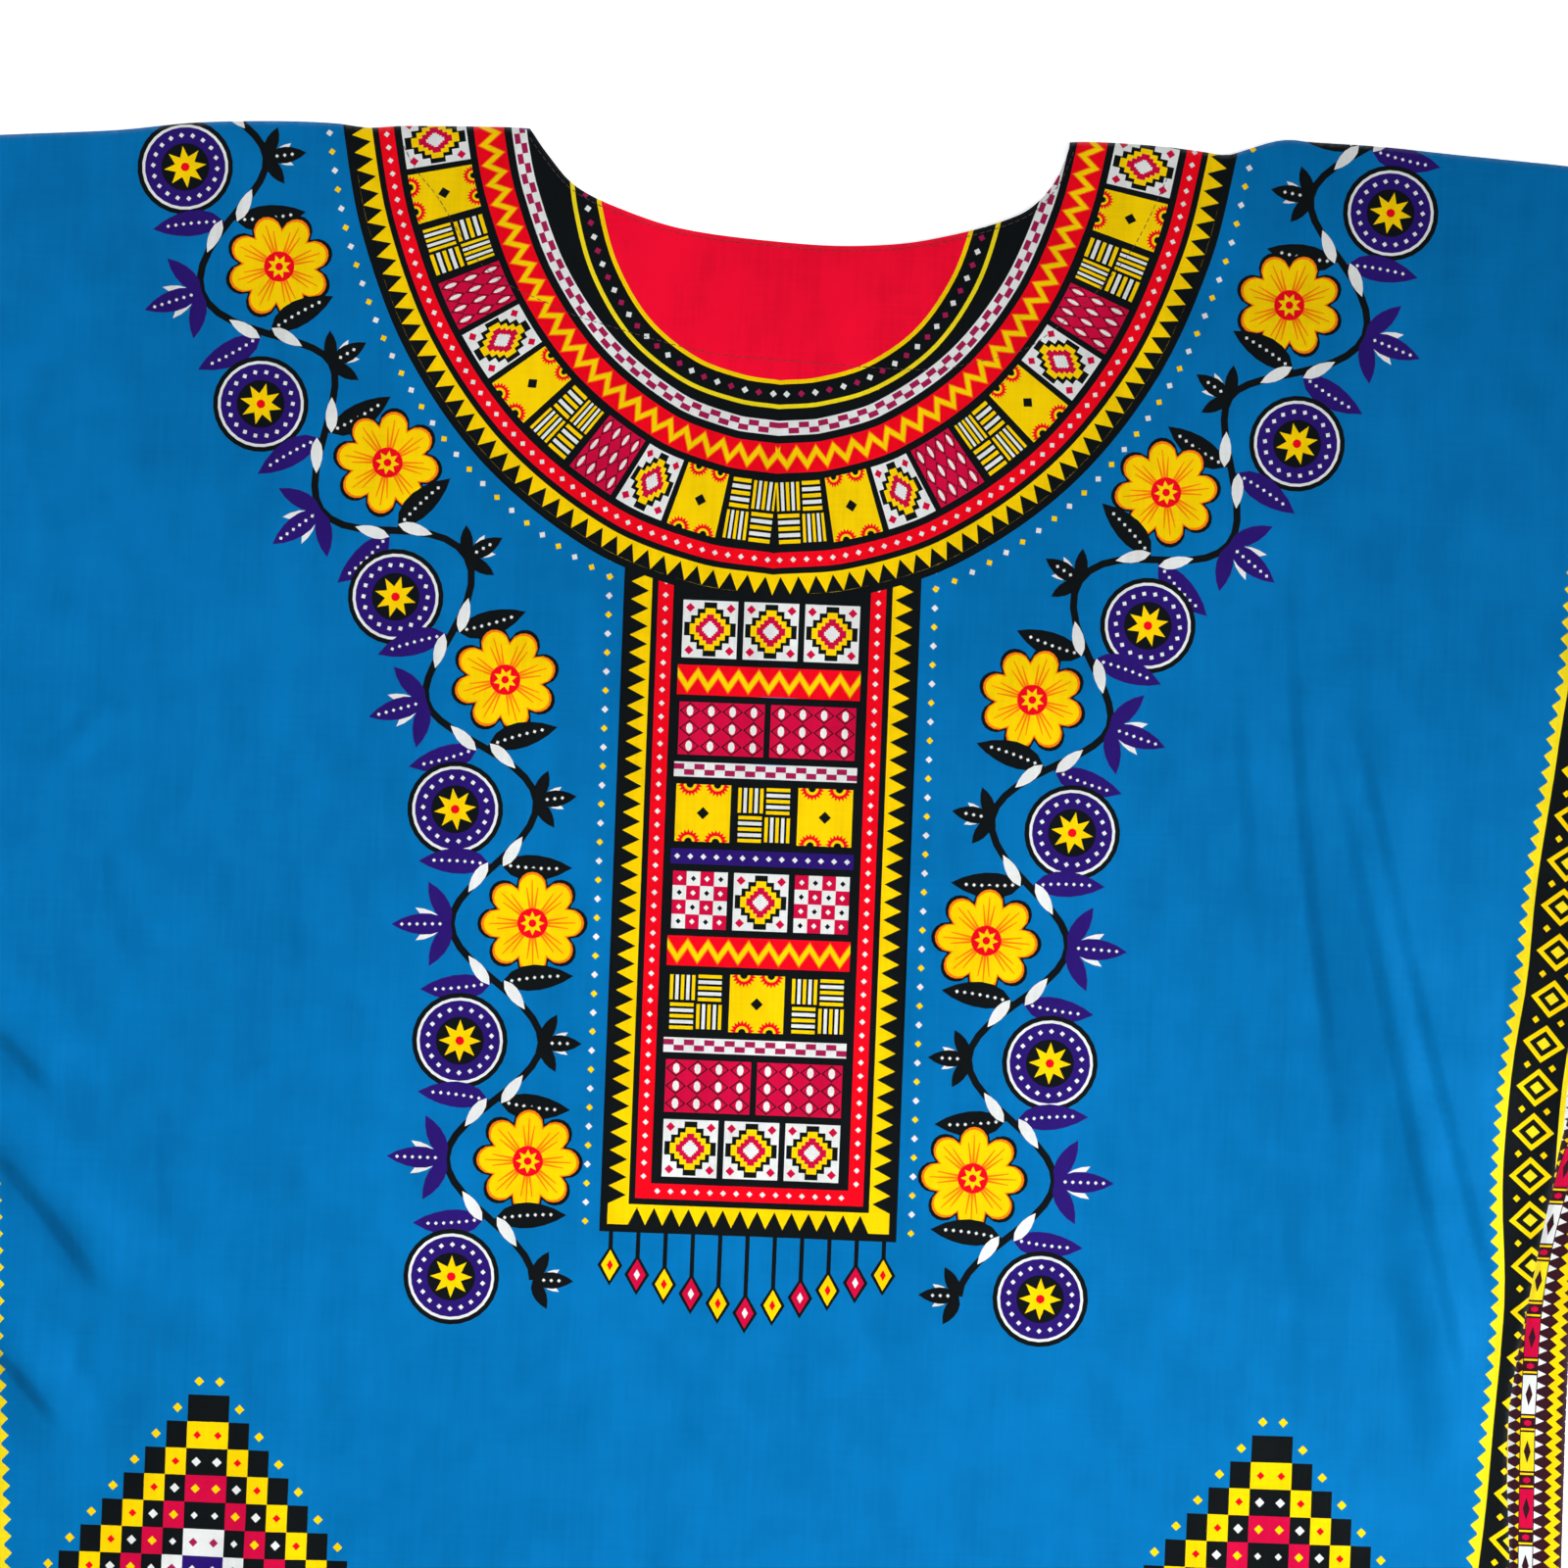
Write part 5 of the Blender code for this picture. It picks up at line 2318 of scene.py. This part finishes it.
@dataclass(frozen=True)
class Bench:
    """A node tree being wired."""

    tree: NodeTree

    def feed(self, node: bpy.types.Node, inputs: dict[str | int, object]) -> bpy.types.Node:
        """Link a socket to, or set a value on, each named or numbered input of a node.

        Args:
            node: The node.
            inputs: A socket or a value for each of its inputs.

        Returns:
            The same node.
        """
        for name, value in inputs.items():
            if isinstance(value, Socket):
                self.tree.links.new(value, node.inputs[name])
            else:
                node.inputs[name].default_value = value
        return node

    def add(
        self, kind: str, inputs: dict[str | int, object] | None = None, **settings: object
    ) -> bpy.types.Node:
        """Add a node.

        Args:
            kind: Its type.
            inputs: What to feed its inputs with.
            settings: The node's own properties.

        Returns:
            The node.
        """
        node = self.tree.nodes.new(kind)
        for name, value in settings.items():
            setattr(node, name, value)
        return self.feed(node, inputs or {})

    def maths(self, operation: str, *values: object) -> Socket:
        """Add a sum of one or two values and return its result."""
        return self.add("ShaderNodeMath", dict(enumerate(values)), operation=operation).outputs[0]

    def noise(self, vector: Socket, scale: float, detail: float = 2.0) -> Socket:
        """Add a noise and return its grey value."""
        inputs = {"Vector": vector, "Scale": scale, "Detail": detail}
        return self.add("ShaderNodeTexNoise", inputs).outputs["Fac"]

    def stretched_noise(self, vector: Socket, scale: Point, detail: float = 2.0) -> Socket:
        """Add a noise that is finer in some directions than in others."""
        place = self.add("ShaderNodeMapping", {"Vector": vector, "Scale": scale}).outputs[0]
        return self.noise(place, 1.0, detail)

    def ranged(self, value: Socket, low: float, high: float, to_low: float, to_high: float) -> Socket:
        """Turn one range of a value into another, held at its ends."""
        inputs = {"Value": value, "From Min": low, "From Max": high, "To Min": to_low, "To Max": to_high}
        return self.add("ShaderNodeMapRange", inputs).outputs["Result"]

    def tinted(self, colour: Socket, factor: Socket) -> Socket:
        """Brighten or darken a colour by a factor."""
        inputs = {0: colour, "Scale": factor}
        return self.add("ShaderNodeVectorMath", inputs, operation="SCALE").outputs[0]

    def bump(self, strength: float, distance: float, height: Socket, **inputs: Socket) -> Socket:
        """Add a bump and return its normal."""
        inputs = {"Strength": strength, "Distance": distance, "Height": height, **inputs}
        return self.add("ShaderNodeBump", inputs).outputs[0]


def new_group(
    name: str, inputs: dict[str, str], outputs: dict[str, str]
) -> tuple[Bench, bpy.types.bpy_prop_collection, bpy.types.Node]:
    """Start a shader node group.

    Args:
        name: The group's name.
        inputs: The socket type of each named input.
        outputs: The socket type of each named output.

    Returns:
        The bench, the group's inputs to link from and the node that takes its outputs.
    """
    tree = bpy.data.node_groups.new(name, "ShaderNodeTree")
    for title, kind in inputs.items():
        tree.interface.new_socket(title, in_out="INPUT", socket_type=kind)
    for title, kind in outputs.items():
        tree.interface.new_socket(title, in_out="OUTPUT", socket_type=kind)
    enter = tree.nodes.new("NodeGroupInput")
    return Bench(tree), enter.outputs, tree.nodes.new("NodeGroupOutput")


def plain_weave_group() -> NodeTree:
    """Make the plain weave: threads that go over and under each other, a little uneven.

    Returns:
        The group.
    """
    bench, enter, leave = new_group(
        "Plain weave", {"Cloth": VECTOR, "Threads": NUMBER, "Unevenness": NUMBER},
        {"Height": NUMBER, "Shade": NUMBER},
    )
    wander = bench.noise(enter["Cloth"], 55.0, 1.0)
    wander = bench.maths("MULTIPLY", bench.maths("SUBTRACT", wander, 0.5), enter["Unevenness"])
    place = bench.add("ShaderNodeSeparateXYZ", {0: enter["Cloth"]})
    waves = []
    for axis in (0, 1):
        turn = bench.maths("ADD", bench.maths("MULTIPLY", place.outputs[axis], enter["Threads"]), wander)
        waves.append(bench.maths("SINE", bench.maths("MULTIPLY", turn, math.pi)))
    crossing = bench.maths("MULTIPLY", *waves)
    shade = bench.ranged(crossing, -1.0, 1.0, 0.96, 1.03)
    bench.feed(leave, {"Height": bench.maths("ABSOLUTE", crossing), "Shade": shade})
    return bench.tree


def uneven_dye_group() -> NodeTree:
    """Make the uneven take-up of dye: streaks along the warp, slubs across, soft blotches.

    Returns:
        The group.
    """
    bench, enter, leave = new_group(
        "Uneven dye",
        {"Colour": COLOUR, "Cloth": VECTOR, "Streaks": NUMBER, "Slubs": NUMBER, "Blotches": NUMBER},
        {"Colour": COLOUR, "Mask": NUMBER},
    )
    factor = 1.0
    for title, scale, detail in (
        ("Streaks", (46.0, 3.2, 1.0), 4.0),
        ("Streaks", (520.0, 26.0, 1.0), 2.0),
        ("Slubs", (34.0, 700.0, 1.0), 2.0),
        ("Blotches", (11.0, 8.0, 1.0), 5.0),
        ("Blotches", (56.0, 40.0, 1.0), 3.0),
    ):
        grey = bench.stretched_noise(enter["Cloth"], scale, detail)
        swing = bench.maths("MULTIPLY", bench.maths("SUBTRACT", grey, 0.5), enter[title])
        factor = bench.maths("ADD", swing, factor)
    bench.feed(leave, {"Colour": bench.tinted(enter["Colour"], factor), "Mask": factor})
    return bench.tree


def worn_edge_group() -> NodeTree:
    """Make the paler rub along edges, seams and rolls of cloth.

    Returns:
        The group.
    """
    bench, enter, leave = new_group(
        "Worn edge", {"Colour": COLOUR, "Pale": COLOUR, "Wear": NUMBER, "Cloth": VECTOR, "Amount": NUMBER},
        {"Colour": COLOUR, "Mask": NUMBER},
    )
    grain = bench.ranged(bench.noise(enter["Cloth"], 420.0, 3.0), 0.35, 0.7, 0.25, 1.0)
    mask = bench.maths("MULTIPLY", bench.maths("MULTIPLY", enter["Wear"], grain), enter["Amount"])
    mix = bench.add("ShaderNodeMix", {"Factor": mask, 6: enter["Colour"], 7: enter["Pale"]}, data_type="RGBA")
    bench.feed(leave, {"Colour": mix.outputs[2], "Mask": mask})
    return bench.tree


@dataclass(frozen=True)
class Groups:
    """The effects that more than one finish uses."""

    weave: NodeTree
    dye: NodeTree
    wear: NodeTree

    @classmethod
    def make(cls) -> "Groups":
        """Make each effect once."""
        return cls(plain_weave_group(), uneven_dye_group(), worn_edge_group())


def new_material(name: str) -> tuple[Material, Bench, bpy.types.Node]:
    """Start a material and return it with its bench and its Principled shader."""
    material = bpy.data.materials.new(name)
    material.use_nodes = True
    return material, Bench(material.node_tree), material.node_tree.nodes["Principled BSDF"]


@dataclass(frozen=True)
class PrintedCotton:
    """Plain-woven printed cotton, matte with a faint sheen."""

    name: str
    threads_per_metre: float = 2400.0
    unevenness: float = 1.6
    streaks: float = 0.18
    slubs: float = 0.12
    blotches: float = 0.36
    wear: float = 0.20
    sheen: float = 0.01
    specular: float = 0.04
    smooth: float = 0.62
    rough: float = 0.82
    weave_depth: float = 0.00007
    weave_strength: float = 0.45
    cockle_depth: float = 0.0011
    cockle_strength: float = 0.5
    fine_cockle: float = 0.16
    pale: Colour = (0.50, 0.54, 0.58, 1.0)

    def make(self, groups: Groups) -> Material:
        """Make the material.

        Args:
            groups: The shared effects.

        Returns:
            The material.
        """
        material, bench, shader = new_material(self.name)
        cloth = bench.add("ShaderNodeUVMap", uv_map=CLOTH_UV).outputs[0]
        dye = bench.add("ShaderNodeAttribute", attribute_name=DYE_ATTRIBUTE).outputs["Color"]
        rub = bench.add("ShaderNodeAttribute", attribute_name=WEAR_ATTRIBUTE).outputs["Fac"]
        weave = bench.add("ShaderNodeGroup", {
            "Cloth": cloth, "Threads": self.threads_per_metre, "Unevenness": self.unevenness,
        }, node_tree=groups.weave).outputs
        uneven = bench.add("ShaderNodeGroup", {
            "Cloth": cloth, "Colour": dye,
            "Streaks": self.streaks, "Slubs": self.slubs, "Blotches": self.blotches,
        }, node_tree=groups.dye).outputs
        worn = bench.add("ShaderNodeGroup", {
            "Cloth": cloth, "Colour": uneven["Colour"], "Wear": rub,
            "Pale": self.pale, "Amount": self.wear,
        }, node_tree=groups.wear).outputs
        bench.feed(shader, {
            "Base Color": bench.tinted(worn["Colour"], weave["Shade"]),
            "Roughness": bench.ranged(uneven["Mask"], 0.9, 1.1, self.rough, self.smooth),
            "Sheen Weight": self.sheen,
            "Specular IOR Level": self.specular,
            "Normal": self.surface(bench, cloth, weave["Height"]),
        })
        return material

    def surface(self, bench: Bench, cloth: Socket, threads: Socket) -> Socket:
        """Wire the cloth's cockle and its weave, and return the normal."""
        broad = bench.stretched_noise(cloth, (26.0, 15.0, 1.0))
        fine = bench.stretched_noise(cloth, (90.0, 60.0, 1.0))
        height = bench.maths("ADD", broad, bench.maths("MULTIPLY", fine, self.fine_cockle))
        cockle = bench.bump(self.cockle_strength, self.cockle_depth, height)
        return bench.bump(self.weave_strength, self.weave_depth, threads, Normal=cockle)


@dataclass(frozen=True)
class SewingThread:
    """Dark twisted sewing thread, with painted highlight and shade in bands along its twist."""

    name: str = "sewing_thread"
    colour: Colour = (0.060, 0.012, 0.020, 1.0)
    unevenness: float = 0.3
    twist_scale: float = 900.0
    twist_depth: float = 0.00008
    twist_strength: float = 0.5
    rough: float = 0.6
    sheen: float = 0.15

    def make(self, groups: Groups) -> Material:
        """Make the material.

        Args:
            groups: The shared effects.

        Returns:
            The material.
        """
        material, bench, shader = new_material(self.name)
        place = bench.add("ShaderNodeTexCoord").outputs["Object"]
        inputs = {"Vector": place, "Scale": self.twist_scale}
        twist = bench.add("ShaderNodeTexWave", inputs, bands_direction="DIAGONAL").outputs["Fac"]
        uneven = bench.add("ShaderNodeGroup", {
            "Cloth": place, "Colour": self.colour,
            "Streaks": self.unevenness, "Slubs": self.unevenness, "Blotches": self.unevenness,
        }, node_tree=groups.dye).outputs["Colour"]
        # The twist's bands also scale the thread's colour from 0.75 to 1.2 times: painted highlight and
        # painted shade along the twist, on top of its bump.
        bench.feed(shader, {
            "Base Color": bench.tinted(uneven, bench.ranged(twist, 0, 1, 0.75, 1.2)),
            "Normal": bench.bump(self.twist_strength, self.twist_depth, twist),
            "Roughness": self.rough,
            "Sheen Weight": self.sheen,
        })
        return material


@dataclass(frozen=True)
class FloorPaint:
    """A plain pale floor."""

    name: str = "pale_floor"
    pale: Colour = (0.90, 0.90, 0.90, 1.0)
    rough: float = 0.9
    specular: float = 0.1
    glow: float = 0.55  # it is lit from below too, so that shadows on it stay faint

    def make(self) -> Material:
        """Make the material.

        Returns:
            The material.
        """
        material, bench, shader = new_material(self.name)
        place = bench.add("ShaderNodeTexCoord").outputs["Object"]
        shade = bench.ranged(bench.noise(place, 3.0), 0.3, 0.7, 0.99, 1.01)
        colour = bench.add("ShaderNodeRGB").outputs[0]
        colour.default_value = self.pale
        bench.feed(shader, {
            "Base Color": bench.tinted(colour, shade),
            "Roughness": self.rough,
            "Specular IOR Level": self.specular,
            "Emission Color": WHITE_LIGHT,
            "Emission Strength": self.glow,
        })
        return material


# --- The studio --------------------------------------------------------------------------


@dataclass(frozen=True)
class SoftBox:
    """A large soft light, in metres and watts."""

    name: str
    place: tuple[float, float, float]
    aim: tuple[float, float]
    size: float
    power: float
    spread: float = 180.0  # degrees


@dataclass(frozen=True)
class Studio:
    """The floor, the lights and the camera, in metres."""

    aim: tuple[float, float] = (0.0079, 0.1195)
    camera_height: float = 1.6
    frame_width: float = 0.656
    sensor: float = 36.0
    turn: float = 2.2
    floor_size: float = 6.0
    floor_level: float = -0.0003
    sky: float = 0.24
    boxes: tuple[SoftBox, ...] = (
        SoftBox("key_light", (2.2, -0.35, 1.5), (-0.1, -0.38), 0.9, 6.8, 42.0),
        SoftBox("low_light", (0.34, -0.22, 0.8), (0.34, -0.12), 0.4, 1.2),
        SoftBox("fill_light", (-1.3, 0.7, 1.1), (-0.35, 0.35), 0.8, 3.3, 100.0),
    )

    def build(self) -> None:
        """Build the whole studio."""
        self.build_floor()
        self.build_world()
        for box in self.boxes:
            self.build_box(box)
        self.build_camera()

    def build_floor(self) -> None:
        """Build the floor."""
        bpy.ops.object.select_all(action="DESELECT")
        bpy.ops.mesh.primitive_plane_add(size=self.floor_size, location=(0, 0, self.floor_level))
        floor = bpy.context.object
        floor.name = "floor"
        floor.data.materials.append(FloorPaint().make())

    def build_world(self) -> None:
        """Light the room evenly and set how the picture shows light."""
        world = bpy.data.worlds.new("room")
        world.use_nodes = True
        background = world.node_tree.nodes["Background"]
        background.inputs["Color"].default_value = WHITE_LIGHT
        background.inputs["Strength"].default_value = self.sky
        bpy.context.scene.world = world
        bpy.context.scene.view_settings.view_transform = "Standard"

    def build_box(self, box: SoftBox) -> None:
        """Build one soft light that faces the shirt.

        Args:
            box: The light.
        """
        light = bpy.data.lights.new(box.name, "AREA")
        light.size = box.size
        light.energy = box.power
        light.spread = math.radians(box.spread)
        lamp = bpy.data.objects.new(box.name, light)
        lamp.location = box.place
        aim = Vector((*box.aim, 0.0)) - lamp.location
        lamp.rotation_euler = aim.to_track_quat("-Z", "Y").to_euler()
        bpy.context.scene.collection.objects.link(lamp)

    def build_camera(self) -> None:
        """Build the camera, which looks straight down."""
        camera = bpy.data.cameras.new("camera")
        camera.sensor_width = self.sensor
        camera.lens = self.sensor * self.camera_height / self.frame_width
        stand = bpy.data.objects.new("camera", camera)
        stand.location = (*self.aim, self.camera_height)
        stand.rotation_euler = (0.0, 0.0, math.radians(self.turn))
        bpy.context.scene.collection.objects.link(stand)
        bpy.context.scene.camera = stand


# --- The shirt ---------------------------------------------------------------------------


@dataclass(frozen=True)
class DashikiShirt:
    """The whole shirt: two printed panels and their stitches."""

    body: str = "root"

    def build(self) -> None:
        """Build the panels and their stitches, the back first."""
        groups = Groups.make()
        thread = SewingThread().make(groups)
        cut = Cut()
        lay = Lay(cut)
        finish = Finish()
        for name, face, node, slot in (
            ("printed_back", Face.BACK, "back_panel", "back_print"),
            ("printed_front", Face.FRONT, "front_panel", "front_print"),
        ):
            panel = PrintedPanel(name, face, cut, lay, finish)
            cotton = PrintedCotton(f"{name}_cotton").make(groups)
            piece = panel.build(cotton)
            stitches = Stitching(panel).build(f"{name}_stitching", thread)
            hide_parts(node)
            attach(piece, self.body)
            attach(stitches, self.body)
            panel.flat_size()
            panel.flat_area()


def main() -> None:
    """Build the shirt and its studio."""
    logging.basicConfig(level=logging.INFO, format="%(name)s: %(message)s")
    DashikiShirt().build()
    Studio().build()


if __name__ == "__main__":
    main()
